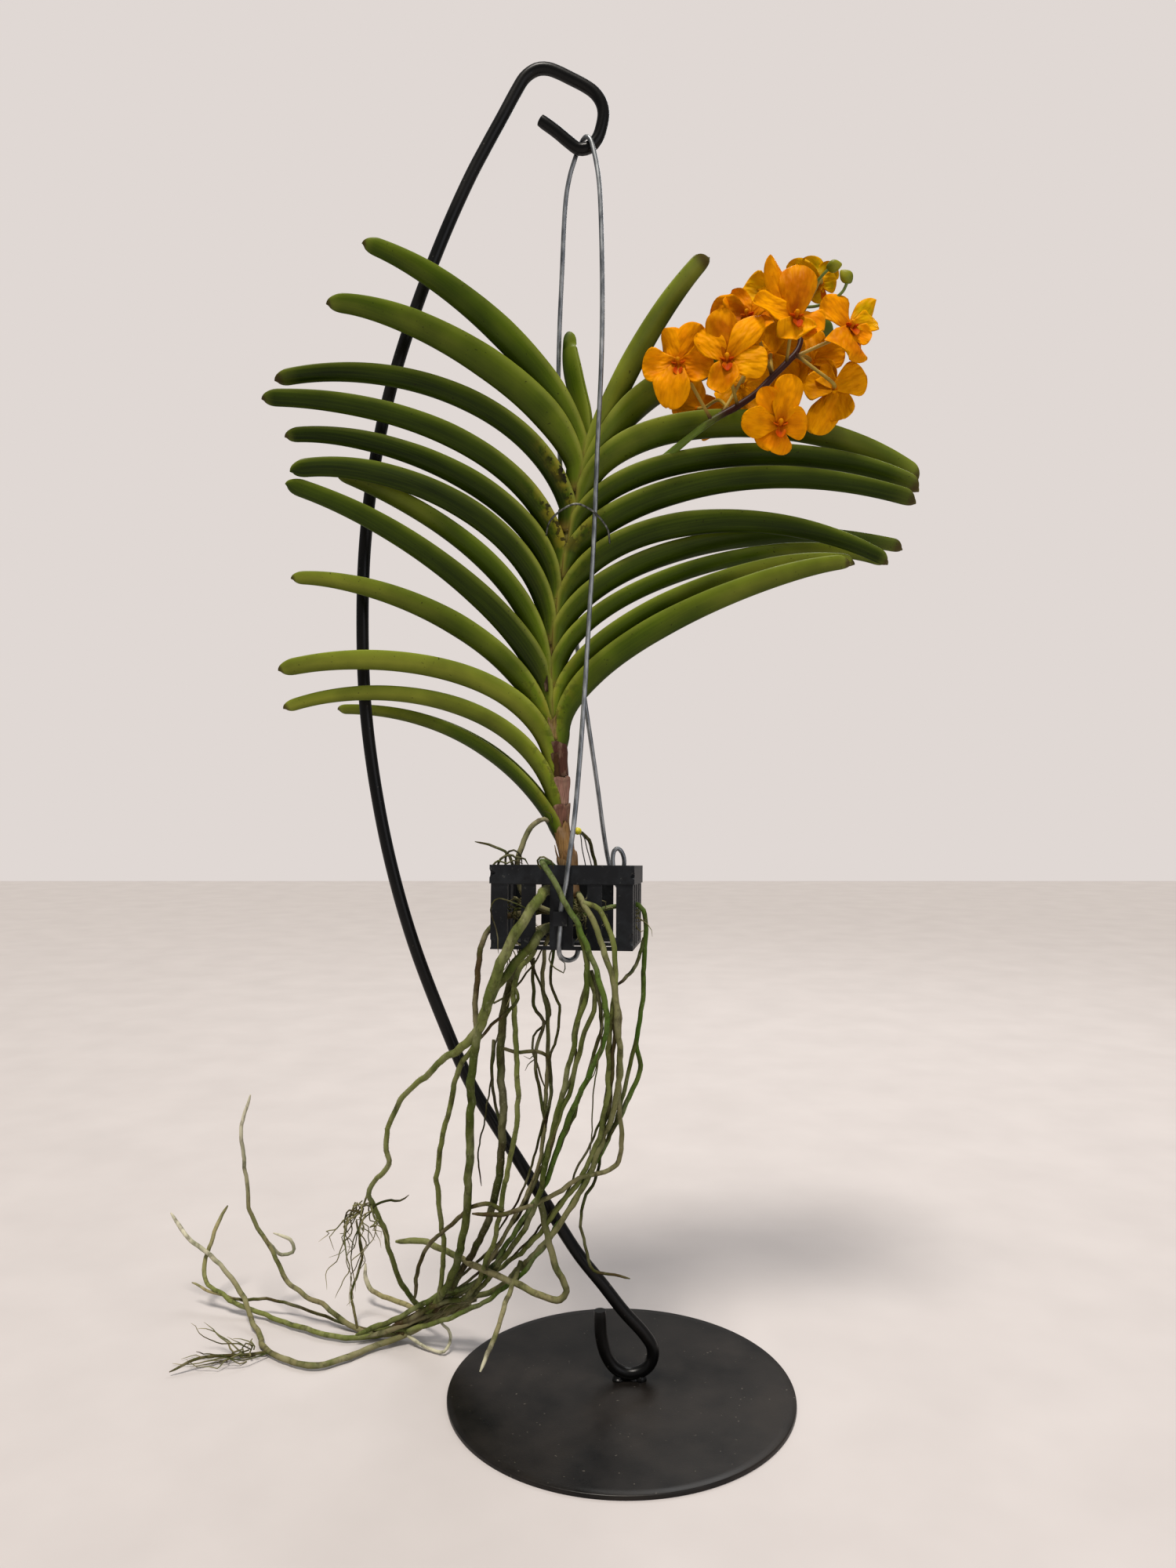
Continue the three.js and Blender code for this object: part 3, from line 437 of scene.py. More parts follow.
def hair_tree():
    """Short tapering hairs that stand all over a skin, each with its own length and lean."""
    tree, given, kept = new_tree("fine root hairs", {
        "Per square metre": "NodeSocketFloat", "Length": "NodeSocketFloat",
        "Seed": "NodeSocketInt", "Material": "NodeSocketMaterial"})
    spread = add(tree, "GeometryNodeDistributePointsOnFaces", {
        "Mesh": given.outputs["Geometry"], "Density": given.outputs["Per square metre"],
        "Seed": given.outputs["Seed"]})
    hair = add(tree, "GeometryNodeMeshCone", {
        "Vertices": 3, "Side Segments": 1, "Radius Top": 0.02 * MM, "Radius Bottom": 0.11 * MM,
        "Depth": given.outputs["Length"]})
    size, lean = [add(tree, "FunctionNodeRandomValue", {
        "Min": least, "Max": most, "Seed": given.outputs["Seed"]}, data_type="FLOAT_VECTOR").outputs[0]
        for least, most in (((0.8, 0.8, 0.3), (1.1, 1.1, 1.4)), ((-0.7, -0.7, 0), (0.7, 0.7, 3)))]
    stood = add(tree, "GeometryNodeInstanceOnPoints", {
        "Points": spread.outputs["Points"], "Instance": hair.outputs["Mesh"],
        "Rotation": spread.outputs["Rotation"], "Scale": size})
    leaned = add(tree, "GeometryNodeRotateInstances", {"Instances": stood.outputs[0], "Rotation": lean})
    return close_tree(tree, given, kept, leaned.outputs[0])


TUBES = tube_tree()
HAIRS = hair_tree()


def as_it_looks(made):
    """The mesh of an object with its modifiers applied."""
    return bpy.data.meshes.new_from_object(made.evaluated_get(bpy.context.evaluated_depsgraph_get()))


def grown(name, start, tree, values):
    """Runs a geometry tree over a mesh and keeps what it makes as a plain object."""
    carrier = in_scene(name + "_start", start)
    modifier = carrier.modifiers.new("nodes", "NODES")
    modifier.node_group = tree
    for item in tree.interface.items_tree:
        if item.in_out == "INPUT" and item.name in values:
            modifier[item.identifier] = values[item.name]
    mesh = as_it_looks(carrier)
    bpy.data.objects.remove(carrier)
    mesh.name = name
    return in_scene(name, mesh)


class Lines:
    """Lines that become tubes: points in mm, each with a radius, a paint colour and a grain."""

    def __init__(self):
        self.points = []
        self.radii = []
        self.paint = []
        self.grain = []
        self.edges = []

    def line(self, points, radius_at, paint_at=None, wear_at=None):
        """Adds a line; radius_at, paint_at and wear_at take the share of the way along it."""
        start = len(self.points)
        lengths = [0.0]
        for a, b in zip(points, points[1:]):
            lengths.append(lengths[-1] + (b - a).length)
        for point, length in zip(points, lengths):
            share = length / lengths[-1]
            self.points.append(point * MM)
            self.radii.append(radius_at(share) * MM)
            self.paint.append(paint_at(share) if paint_at else UNPAINTED)
            self.grain.append((0.0, length, wear_at(share) if wear_at else 0.0))
        self.edges += [(i, i + 1) for i in range(start, len(self.points) - 1)]

    def finish(self, name, material, sides):
        mesh = bpy.data.meshes.new(name + "_line")
        mesh.from_pydata(self.points, self.edges, [])
        set_values(mesh, radius=self.radii, paint=self.paint, grain=self.grain)
        return grown(name, mesh, TUBES, {"Sides": sides, "Material": material})


def plain_line(name, points, radius, material, sides, step=2.0):
    """A wire of one thickness whose ends are slightly rounded."""
    lines = Lines()
    lines.line(through(points, step), lambda share: radius * (0.6 if share in (0, 1) else 1))
    return lines.finish(name, material, sides)


# ---------------------------------------------------------------- stand
PLATE_RADIUS = 115.5
PLATE_THICK = 3.0
PLATE_SIDES = 144
# Radius and height from the middle of the underside, round the rolled edge, to the middle of the top.
PLATE_PROFILE = [
    (0.6, 0), (PLATE_RADIUS - 0.5, 0), (PLATE_RADIUS, 0.5), (PLATE_RADIUS, 2.2), (PLATE_RADIUS - 0.25, 2.7),
    (PLATE_RADIUS - 0.8, PLATE_THICK), (PLATE_RADIUS - 6, PLATE_THICK), (60, PLATE_THICK), (0.6, PLATE_THICK),
]
ROD_RADIUS = 4.15
ROD_LINE = [
    (-54, 855), (-43, 847), (-34, 839.5), (-28, 835.5), (-21.5, 836.5), (-16, 842), (-13, 850),
    (-11.5, 860), (-13.3, 867.5), (-17.5, 873.5), (-24, 878.2), (-33.6, 883.2), (-42, 887.3),
    (-48.5, 889.6), (-54.5, 889.8), (-59.5, 888), (-65, 883.5), (-70, 875.5), (-80, 857), (-91, 837),
    (-101.5, 817), (-119.5, 777), (-139, 726), (-156, 671), (-167, 618), (-173, 565), (-174.5, 510),
    (-172.5, 458), (-166, 406), (-155.5, 353), (-140.5, 300), (-120.5, 247), (-101.5, 203.5), (-86, 178),
    (-68, 150), (-49, 120), (-28.5, 88), (-12, 67.5), (2, 49.5), (16, 34), (21.5, 25), (21.5, 17.5),
    (18, 11.5), (11.5, 8), (4, 7.5), (-3.5, 11), (-9.5, 19.5), (-13, 32), (-14, 50),
]
WELD_PLACES = (-1.5, 3.5, 9, 13.5)
WELD_HEIGHT = 4.6
WELD_WIDTH = 4.0


def base_plate():
    """Round plate with its top edge rolled over."""
    made = turned_solid("stand_plate", Vector((0, 0, 0)), PLATE_PROFILE, PLATE_SIDES, DUSTY_ENAMEL)
    keep_corners(made, 35)
    return made


def stand_rod():
    """The bent rod, with four runny weld beads where its foot loop meets the plate."""
    lines = Lines()
    lines.line(through([(x, PLANE_Y, z) for x, z in ROD_LINE], 2.5),
               lambda share: ROD_RADIUS * (0.93 if share in (0, 1) else 1))
    uneven = random.Random(3)
    for x in WELD_PLACES:
        height = WELD_HEIGHT + uneven.uniform(-0.4, 0.4)
        wide = WELD_WIDTH + uneven.uniform(-0.4, 0.6)
        bead = [Vector((x, PLANE_Y + uneven.uniform(-0.4, 0.4), PLATE_THICK + 0.1 + height * k / 4))
                for k in range(5)]
        lines.line(bead, lambda share, wide=wide: wide * (1 - 0.55 * share ** 1.5))
    return lines.finish("stand_rod", ENAMEL, 20)


stands_for(base_plate(), "black_paint", "base_plate")
stands_for(stand_rod(), "black_paint", "stand_hook", "stand_upper_bow", "stand_lower_bow", "stand_foot")

# ---------------------------------------------------------------- wires
HANGER_RADIUS = 1.6
TIE_RADIUS = 0.75
BEAD_WIRE_RADIUS = 0.4
HANGER_LINE = [
    (3, 54, 343), (3.9, 53.5, 351), (2.3, 53, 357), (-0.5, 52.6, 360), (-3.2, 52, 358.5), (-4.4, 51, 353),
    (-3.3, 50.2, 343), (-0.5, 51, 333), (0.2, 58, 331.5), (-2.5, 62.8, 335), (-5.5, 64, 343), (-8, 63, 354),
    (-10.5, 60, 369), (-15.5, 54, 406), (-28.5, 43, 494), (-34.5, 38, 538), (-39.5, 34, 592),
    (-42.5, 31, 667), (-42, 29, 712), (-40, 25, 757), (-37, 20, 808), (-34, 18, 823), (-31, 16.6, 832),
    (-29.5, 16.3, 836.5), (-28, 15.4, 839.2), (-26.5, 13.1, 841.4), (-25, 10, 842.2), (-23.2, 6.8, 842),
    (-21.5, 4.6, 840.2), (-20, 3.7, 837.5), (-18.5, 2.8, 832), (-16.5, 1.5, 822), (-14.5, 0, 807),
    (-13, -2, 771), (-12.5, -4, 718), (-13.5, -5.5, 676), (-15.5, -7, 634), (-18.5, -9, 561),
    (-21, -12, 520), (-23.5, -15, 478), (-27, -21, 426), (-31, -29, 381), (-33.5, -34.2, 362),
    (-36, -35.9, 343), (-39.2, -36.1, 326), (-39.5, -36.8, 316), (-40.4, -38.2, 304), (-40, -36, 297.5),
    (-37.5, -32.5, 294), (-33, -29, 293), (-29.5, -26, 295), (-28, -24.5, 301),
]
TIE_LINE = [
    (-50, 1, 572), (-48, -6, 578.5), (-42.5, -10.5, 584), (-30, -12.2, 590), (-19.5, -11, 586),
    (-14, -10.2, 581), (-9, -8, 574), (-7.5, -2, 566),
]
BEAD_CENTRE = Vector((-29, 14, 374))
BEAD_RADIUS = 2.7
BEAD_HALF_HEIGHT = 2.6
BEAD_WIRES = [
    [(-33.5, 13, 375.5), (-31, 13.5, 375.5), (-27.5, 14, 372), (-26, 15, 362), (-23.5, 18, 349),
     (-22, 22, 332), (-26, 18, 320)],
    [(-33.5, 14.5, 373), (-30, 14.5, 373.5), (-25.5, 15.5, 371), (-22.5, 18, 361), (-19.5, 22, 349),
     (-18, 26, 332), (-23, 20, 318)],
]
stands_for(plain_line("hanger", HANGER_LINE, HANGER_RADIUS, ZINC, 12), "galvanised_wire", "hanger_wire")
stands_for(plain_line("stem_tie", TIE_LINE, TIE_RADIUS, BINDING, 8, 1.5), "thin_wire", "tie_wire")
for number, route in enumerate(BEAD_WIRES, 1):
    stands_for(plain_line(f"bead_wire_{number}", route, BEAD_WIRE_RADIUS, BINDING, 6, 1.5), "thin_wire")


def bead():
    """The yellow bead of a lost tag, threaded on its two thin wires."""
    turns = [math.pi * (0.04 + 0.92 * k / 8) for k in range(9)]
    profile = [(BEAD_RADIUS * math.sin(turn), BEAD_HALF_HEIGHT * math.cos(turn)) for turn in turns]
    return turned_solid("tag_bead", BEAD_CENTRE, profile, 16, BEAD)


stands_for(bead(), "bloom_orange")

# ---------------------------------------------------------------- basket
SOFT_EDGE = 0.45        # how far the moulded edges are rounded
# Chips broken out of the basket's corners: where, and half the size each way.
CHIPS = [
    ((-85.8, -28, 348.6), (4, 3.6, 2.7)), ((-84.4, -28.4, 355), (2.6, 2.2, 1.3)),
    ((-85.2, -30.4, 304), (3.2, 3, 2.8)), ((8.2, -38, 347.8), (3.8, 3.4, 2.2)),
    ((9, -37.6, 341.8), (3, 3.2, 1.7)), ((5.2, -37.4, 355.2), (3, 2.6, 1.6)),
    ((7, -40.2, 308), (3.8, 3.4, 4.4)), ((7, -40.2, 323), (1.8, 2, 3)), ((-38, -33.4, 355), (3, 1.6, 1)),
    ((17.5, 52, 351), (3, 3, 2)), ((-76.5, 62, 349), (3, 3, 2.4)),
]


def chip_lumps():
    """A rough lump for each chip, to be cut out of the basket."""
    lumps = bmesh.new()
    for place, half in CHIPS:
        for vert in bmesh.ops.create_icosphere(lumps, subdivisions=2, radius=1)["verts"]:
            rough = 1 + 0.4 * noise.noise(vert.co * 1.7 + Vector(place))
            vert.co = (Vector(place) + Vector(half) * vert.co * rough) * MM
    mesh = bpy.data.meshes.new("chips")
    lumps.to_mesh(mesh)
    lumps.free()
    return in_scene("chips", mesh)


def basket():
    """The moulded basket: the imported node's faces welded, cleaned, given soft edges and chipped."""
    shaped = bmesh.new()
    shaped.from_mesh(bpy.data.objects["basket"].data)
    bmesh.ops.remove_doubles(shaped, verts=shaped.verts, dist=0.02 * MM)
    bmesh.ops.dissolve_limit(shaped, angle_limit=math.radians(1), verts=shaped.verts, edges=shaped.edges)
    corners = [edge for edge in shaped.edges if edge.calc_face_angle(0) > math.radians(40)]
    bmesh.ops.bevel(shaped, geom=corners, offset=SOFT_EDGE * MM, segments=2, profile=0.5,
                    affect="EDGES", clamp_overlap=True)
    mesh = bpy.data.meshes.new("slatted_basket")
    shaped.to_mesh(mesh)
    shaped.free()
    dress(mesh, PLASTIC)
    made = in_scene("slatted_basket", mesh)
    lumps = chip_lumps()
    chipping = made.modifiers.new("chips", "BOOLEAN")
    chipping.operation = "DIFFERENCE"
    chipping.solver = "EXACT"
    chipping.object = lumps
    made.data = as_it_looks(made)
    made.modifiers.remove(chipping)
    bpy.data.objects.remove(lumps)
    keep_corners(made, 50)
    return made


stands_for(basket(), "black_plastic", "basket")

# ---------------------------------------------------------------- stem
STEM_AXIS = [
    (-32.5, 328.8), (-35.5, 353), (-40, 380), (-40.5, 406), (-42, 427), (-45.5, 448), (-47, 486),
    (-45, 512), (-42, 533), (-37, 565), (-31, 592), (-26, 618), (-23, 640), (-22, 650),
]
STEM_TOP = 650
STEM_RING_EVERY = 2.5
SCAR_EVERY = 11


def stem_x_at(z):
    """Where the stem's axis is at a height; above its top it stays where its top is."""
    for (x0, z0), (x1, z1) in zip(STEM_AXIS, STEM_AXIS[1:]):
        if z <= z1:
            return between(x0, x1, (z - z0) / (z1 - z0))
    return STEM_AXIS[-1][0]


def stem_point(z, turn, reach):
    """A point beside the stem's axis: turn 0 is to the right and 90 degrees to the front."""
    a = math.radians(turn)
    return Vector((stem_x_at(z) + reach * math.cos(a), PLANE_Y - reach * math.sin(a), z))


def stem_core(name, low, high, radius, colours, material):
    """The round core under the sheaths, ringed by the scars of old leaves."""
    rings = []
    count = int((high - low) / STEM_RING_EVERY)
    for row in range(count + 1):
        z = between(low, high, row / count)
        ringed = 0.35 * math.cos(z * math.tau / SCAR_EVERY) + 0.5 * noise.noise(Vector((0, 0, z * 0.15)))
        slim = 1 - 0.55 * rise(STEM_TOP - 22, STEM_TOP, z)
        paint = along_table(colours, row / count)
        ring = []
        for turn in range(0, 360, 20):
            uneven = ringed + 0.3 * noise.noise(Vector((turn, z * 0.1, 0)))
            ring.append((stem_point(z, turn, (radius + uneven) * slim), paint,
                         (radius * math.radians(turn), z, 0)))
        rings.append(ring)
    return lofted(name, rings, material)


# A torn sheath on the old wood: its low and high z, the turn of its middle and how far it wraps
# in degrees, its radius low down and high up, how ragged its top edge is in mm, and its colour.
TORN_SHEATHS = [
    (411, 438, 70, 300, 5.4, 6.4, 8, "54342A"), (408, 432, 190, 200, 5.6, 6.8, 9, "483019"),
    (391, 411.5, 60, 310, 5.0, 6.6, 3, "A07868"), (374, 394, 55, 300, 4.8, 6.0, 4, "80594A"),
    (384, 404, 220, 170, 5.2, 6.4, 7, "7E5E4A"), (351, 385, 125, 170, 5.0, 6.2, 10, "A9824F"),
    (330, 364, 70, 230, 5.2, 6.8, 9, "8E6A40"), (352, 378, -60, 220, 5.0, 6.2, 7, "86664A"),
    (334, 358, 170, 150, 5.8, 7.2, 8, "8A6E48"), (436, 452, 150, 160, 5.4, 6.4, 4, "8A7440"),
    (468, 481, 118, 20, 7.5, 7.7, 8, "3A2C1C"),
]
TORN_EDGE = tint("2C1D14")
TORN_COLUMNS = 14
TORN_ROWS = 8
PAPER_HALF = 0.25       # half the thickness of the dry sheath


def torn_sheaths():
    """Papery sleeves wrapped part of the way round the stem, torn along their top edges."""
    skin = Skin()
    for number, (low, high, middle, wrap, lean_in, lean_out, ragged, code) in enumerate(TORN_SHEATHS):
        turns = [middle + wrap * (k / TORN_COLUMNS - 0.5) for k in range(TORN_COLUMNS + 1)]
        tears = [ragged * (0.5 + noise.noise(Vector((number * 7.1, turn * 0.035, 3)))
                           + 0.35 * noise.noise(Vector((number, turn * 0.16, 9)))) for turn in turns]
        dry = tint(code)
        rings = []
        for row in range(TORN_ROWS + 1):
            share = row / TORN_ROWS
            reach = between(lean_in, lean_out, share ** 1.6)
            ring = []
            for skin_side in (PAPER_HALF, -PAPER_HALF):
                side = []
                for turn, tear in zip(turns, tears):
                    z = low + (high - tear - low) * share
                    wave = 0.5 * noise.noise(Vector((turn * 0.03, z * 0.12, number)))
                    flare = 0.9 * share * abs(turn - middle) / wrap
                    paint = between(dry, TORN_EDGE, 0.5 * rise(0.75, 1, share))
                    side.append((stem_point(z, turn, reach + wave + flare + skin_side), paint,
                                 (reach * math.radians(turn), z, 0)))
                ring += side if skin_side > 0 else side[::-1]
            rings.append(ring)
        skin.loft(rings)
    return skin.finish("old_sheaths", SHEATH)


OLD_CORE = [tint("4E3B22"), tint("6B5233"), tint("5D4630"), tint("4A3823")]
GREEN_CORE = [tint("5A4A22"), tint("5E5020"), tint("66602A"), tint("70743A")]
stands_for(stem_core("old_stem", 328.8, 437, 4.1, OLD_CORE, SHEATH), "old_sheath", "stem_old_wood")
stands_for(torn_sheaths(), "old_sheath")
stands_for(stem_core("green_stem", 434, STEM_TOP, 4.3, GREEN_CORE, STALK), "stem_green", "stem_green")

# ---------------------------------------------------------------- leaves
# A leaf: the height of its foot on the stem, its tip, the slope of its arc at both ends in
# degrees, how far each slope holds as a share of the chord, and the depth of its fold at mid
# length and at the tip. Then its looks: a tone from 0 deep green to 1 yellow-green, the roll of
# the blade in degrees (positive shows its inside to the front), the length of its dry tip in
# mm, and how scarred its base is.
# The tone is partly each leaf's own green and partly painted light: it is set lighter on the leaves on the
# right to stand for the light that reaches them.
LEAVES = {
    "leaf_left_01": (637, (-168, -20, 757), 68, 13, 0.32, 0.27, 17, 10.5, 0.52, 4, 2, 0),
    "leaf_left_02": (621, (-188, -34, 712), 72, -9, 0.3, 0.25, 18.5, 11, 0.58, -4, 2, 0.1),
    "leaf_left_03": (594, (-223, -26, 666), 72, -18, 0.37, 0.35, 13.5, 10, 0.05, 0, 4, 1),
    "leaf_left_04": (565, (-228, -38, 650), 72, -7, 0.39, 0.28, 13.5, 10.5, 0.15, 4, 1.6, 0.9),
    "leaf_left_05": (541, (-216, -28, 629), 82, -11, 0.33, 0.29, 14, 9, 0.0, 14, 1.5, 0.1),
    "leaf_left_06": (518, (-208, -46, 602), 79, -17, 0.39, 0.29, 14, 11, 0.0, 10, 0, 0.1),
    "leaf_left_07": (486, (-185, -22, 608), 82, 18, 0.35, 0.33, 13, 10, 0.4, 0, 1, 0.1),
    "leaf_left_08": (464, (-212, -42, 595), 87, 13, 0.2, 0.39, 15, 11, 0.0, -6, 0, 0.1),
    "leaf_left_09": (444, (-212, -28, 538), 73, -5, 0.35, 0.27, 14, 8, 0.6, 4, 1.5, 0.45),
    "leaf_left_10": (421, (-217, -40, 478), 80, -17, 0.36, 0.32, 13, 11, 1.0, 0, 1.8, 0.3),
    "leaf_left_11": (398, (-218, -24, 455), 73, -22, 0.38, 0.34, 11, 8, 0.8, -4, 2.5, 0.4),
    "leaf_left_12": (380, (-196, 36, 458), 61, -1, 0.23, 0.49, 10, 7, 0.35, 0, 1.5, 0.3),
    "leaf_centre": (650.5, (-34, 20, 716), 90, 100, 0.3, 0.3, 8, 7, 0.6, 0, 0, 0),
    "leaf_right_01": (631, (59, 18, 767), 71, 47, 0.18, 0.35, 15, 12, 0.82, 0, 10, 0),
    "leaf_right_02": (618, (157, 78, 744), 67, 28, 0.38, 0.32, 19, 16, 0.62, -6, 0, 0),
    "leaf_right_03": (605, (207, 28, 617), 71, -36, 0.28, 0.33, 17, 12, 0.62, 5, 6, 0.1),
    "leaf_right_04": (584, (202, 10, 606), 61, -30, 0.26, 0.29, 14, 11, 0.2, 0, 6, 0.1),
    "leaf_right_05": (562, (195, -6, 594), 56, -19, 0.18, 0.51, 16, 11, 0.15, -5, 5, 0.6),
    "leaf_right_06": (533, (175, -12, 552), 65, -32, 0.31, 0.36, 15, 9, 0.1, 4, 2, 0.2),
    "leaf_right_07": (512, (198, 38, 572), 64, -10, 0.2, 0.48, 14, 9, 0.2, 0, 7, 0.1),
    "leaf_right_08": (488, (179, 14, 557), 72, -23, 0.25, 0.28, 11, 8, 0.4, -4, 2, 0.2),
    "leaf_right_09": (464, (154, -6, 553), 77, -12, 0.23, 0.28, 12, 8, 0.55, 0, 2, 0.3),
    "leaf_right_10": (442, (147, -26, 549), 88, -2, 0.26, 0.18, 15, 9, 0.5, 4, 3, 0.4),
}
# The deep green is the leaf's own darkest green and is also painted shade along the keel.
LEAF_DEEP_AND_SHADE = tint("1A2603")
LEAF_MID = tint("3E5009")
LEAF_YELLOW = tint("8A9030")
# The pale green is the leaf's own paler colour at its base and inside, and is also painted highlight towards
# the margins.
LEAF_PALE_AND_HIGHLIGHT = tint("6E8216")
# The margin colour is the leaf's own pale edge and is also painted highlight where the edge catches the
# light.
LEAF_MARGIN_AND_HIGHLIGHT = tint("8E943C")
LEAF_DRY = tint("43301C")
SHEATH_EDGE = tint("6B5526")
LEAF_THICK = 1.15
LEAF_STATIONS = 44
LEAF_UNEVEN = 0.035     # how fast a blade's waves and mottle change along it, per mm
FAR_FROM_TIP = 999
SHEATH_LENGTH = 18
SHEATH_STATIONS = 7
FOOT_OFFSET = 5.2       # where the blade leaves the stem
SLEEVE_OFFSET = 4.4     # lower end of the sheath on the stem
CENTRE_OFFSET = 1.6     # the young centre leaf starts inside the top of the stem and is narrow
CENTRE_DROP = 16
CENTRE_GAPE = 2.3
HALF_SECTION = (0, 0.1, 0.27, 0.5, 0.75, 0.93, 1)
SECTION = [-u for u in HALF_SECTION[:0:-1]] + list(HALF_SECTION)
TIP_STEPS = (11, 8.5, 6.5, 4.8, 3.4, 2.2, 1.3, 0.6, 0.2, 0)   # mm left to the tip


def bezier(corners, s):
    """Point and unit direction of a cubic arc."""
    a, b, c, d = corners
    t = 1 - s
    point = t ** 3 * a + 3 * t * t * s * b + 3 * t * s * s * c + s ** 3 * d
    along = t * t * (b - a) + 2 * t * s * (c - b) + s * s * (d - c)
    return point, along.normalized()


def leaf_section(depth, gape, roundness):
    """Outside and inside of a folded blade: (u, across, over) from the keel, inside ones last."""
    fold = math.atan2(gape, depth)
    lifted = min(LEAF_THICK / math.sin(fold), 0.45 * depth)
    narrowed = min(LEAF_THICK / math.cos(fold), 0.5 * gape)
    soft = 0.12

    def folded(u, half, low):
        across = half * ((1 - roundness) * u + roundness * math.sin(1.9 * u))
        share = (math.sqrt(u * u + soft * soft) - soft) / (math.sqrt(1 + soft * soft) - soft)
        return across, low + (depth - low) * share
    outside = [(u, *folded(u, gape, 0)) for u in SECTION]
    inside = [(u, *folded(u, gape - narrowed, lifted)) for u in reversed(SECTION)]
    edge = gape - narrowed / 2
    crest = depth + 0.3 * LEAF_THICK
    return outside + [(1, edge, crest)] + inside + [(-1, -edge, crest)]


def leaf_paint(tone, dry, glow, s, left, u, is_inside, is_edge):
    """Colour of a point of a leaf; glow is how bright its base is, and left the mm left to the tip."""
    tone = min(1, max(0, tone))
    base = along_table((LEAF_DEEP_AND_SHADE, LEAF_MID, LEAF_YELLOW), tone)
    base = between(base, LEAF_PALE_AND_HIGHLIGHT, glow * (1 - rise(0, 0.35, s)) * rise(0.2, 0.8, abs(u)))
    # Painted shade: darker towards the keel.
    base = between(base, LEAF_DEEP_AND_SHADE, 0.7 * (1 - rise(0, 0.6, abs(u))))
    # Painted highlight: lighter towards the margins, where the light from above reaches.
    base = between(base, LEAF_PALE_AND_HIGHLIGHT, (0.22 + 0.25 * tone) * rise(0.55, 0.95, abs(u)))
    if is_inside:
        base = between(base, LEAF_PALE_AND_HIGHLIGHT, 0.3)
    # The pale margin line is partly the leaf's own edge colour and partly painted highlight where the edge
    # catches the light.
    if is_edge:
        base = between(base, LEAF_MARGIN_AND_HIGHLIGHT, 0.7)
    elif abs(u) > 0.9:
        base = between(base, LEAF_MARGIN_AND_HIGHLIGHT, 0.2 + 0.5 * (1 - rise(0.1, 0.5, s)))
    low_down = (1 - rise(-0.2, 0.14, s)) * rise(0.86, 1, abs(u))
    base = between(base, SHEATH_EDGE, max(0.85 * low_down, 0.9 * (1 - rise(-0.95, -0.45, s))))
    if dry:
        base = between(base, LEAF_MARGIN_AND_HIGHLIGHT, 0.22 * (1 - rise(dry, dry * 4, left)))
        base = between(base, LEAF_DRY, 0.85 * (1 - rise(dry * 0.5, dry * 1.3, left)))
    return base


def leaf_stations(foot_z, corners, end_speed, side, hug, centred):
    """Centre, direction and share of the length of each ring; the sheath's shares are below 0."""
    stations = []
    for k in range(0 if centred else SHEATH_STATIONS):
        share = k / SHEATH_STATIONS
        z = foot_z - SHEATH_LENGTH * (1 - share)
        offset = between(between(1.5, SLEEVE_OFFSET, hug), FOOT_OFFSET, rise(0, 1, share))
        stations.append((Vector((stem_x_at(z) + side * offset, PLANE_Y, z)), UP, share - 1))
    shares = [i / LEAF_STATIONS for i in range(LEAF_STATIONS)]
    shares = [s for s in shares if s < 1 - TIP_STEPS[0] / end_speed - 0.01]
    shares += [1 - left / end_speed for left in TIP_STEPS]
    return stations + [(*bezier(corners, s), s) for s in shares]


def blade_axes(along, bias, swing):
    """Directions across the blade and over it, swung round its length by some degrees."""
    level = Vector((along.x, along.y, 0))
    if level.dot(bias) < 0:
        level.negate()
    level += bias * max(0.0, 0.35 - level.length)
    across = UP.cross(level).normalized()
    over = along.cross(across).normalized()
    turn = Quaternion(along, math.radians(swing))
    return turn @ across, turn @ over


def blade_size(s, left, depth_mid, depth_tip, side, hug, centred):
    """Depth of the fold, its half gape, and how far the blunt tip is drawn to the keel."""
    opened = rise(-0.05, 0.24, s)
    slimmed = 0 if s < 0.45 else (s - 0.45) / 0.55
    sleeved = rise(-1, 0, s)
    depth = between(between(between(7, 8, hug), between(9.5, 12, hug), sleeved),
                    between(depth_mid, depth_tip, slimmed), opened)
    gape = between(between(5, between(5.7, 6.4, hug), sleeved),
                   between(0.52 * depth_mid, 0.5 * depth_tip, slimmed), opened)
    if centred:
        depth = between(9, 13.5, rise(0, 0.35, s)) * (1 - 0.35 * rise(0.6, 1, s))
        gape = CENTRE_GAPE
    blunt = 0.8 * depth_tip
    shrink = 1 - 0.1 * rise(0.7, 1, s)
    if left < blunt:
        shrink *= math.sqrt(max(0.012, 1 - ((blunt - left) / blunt) ** 1.9))
    return depth * shrink, gape * shrink, (0.17 + 0.1 * side) * depth * (1 - shrink)


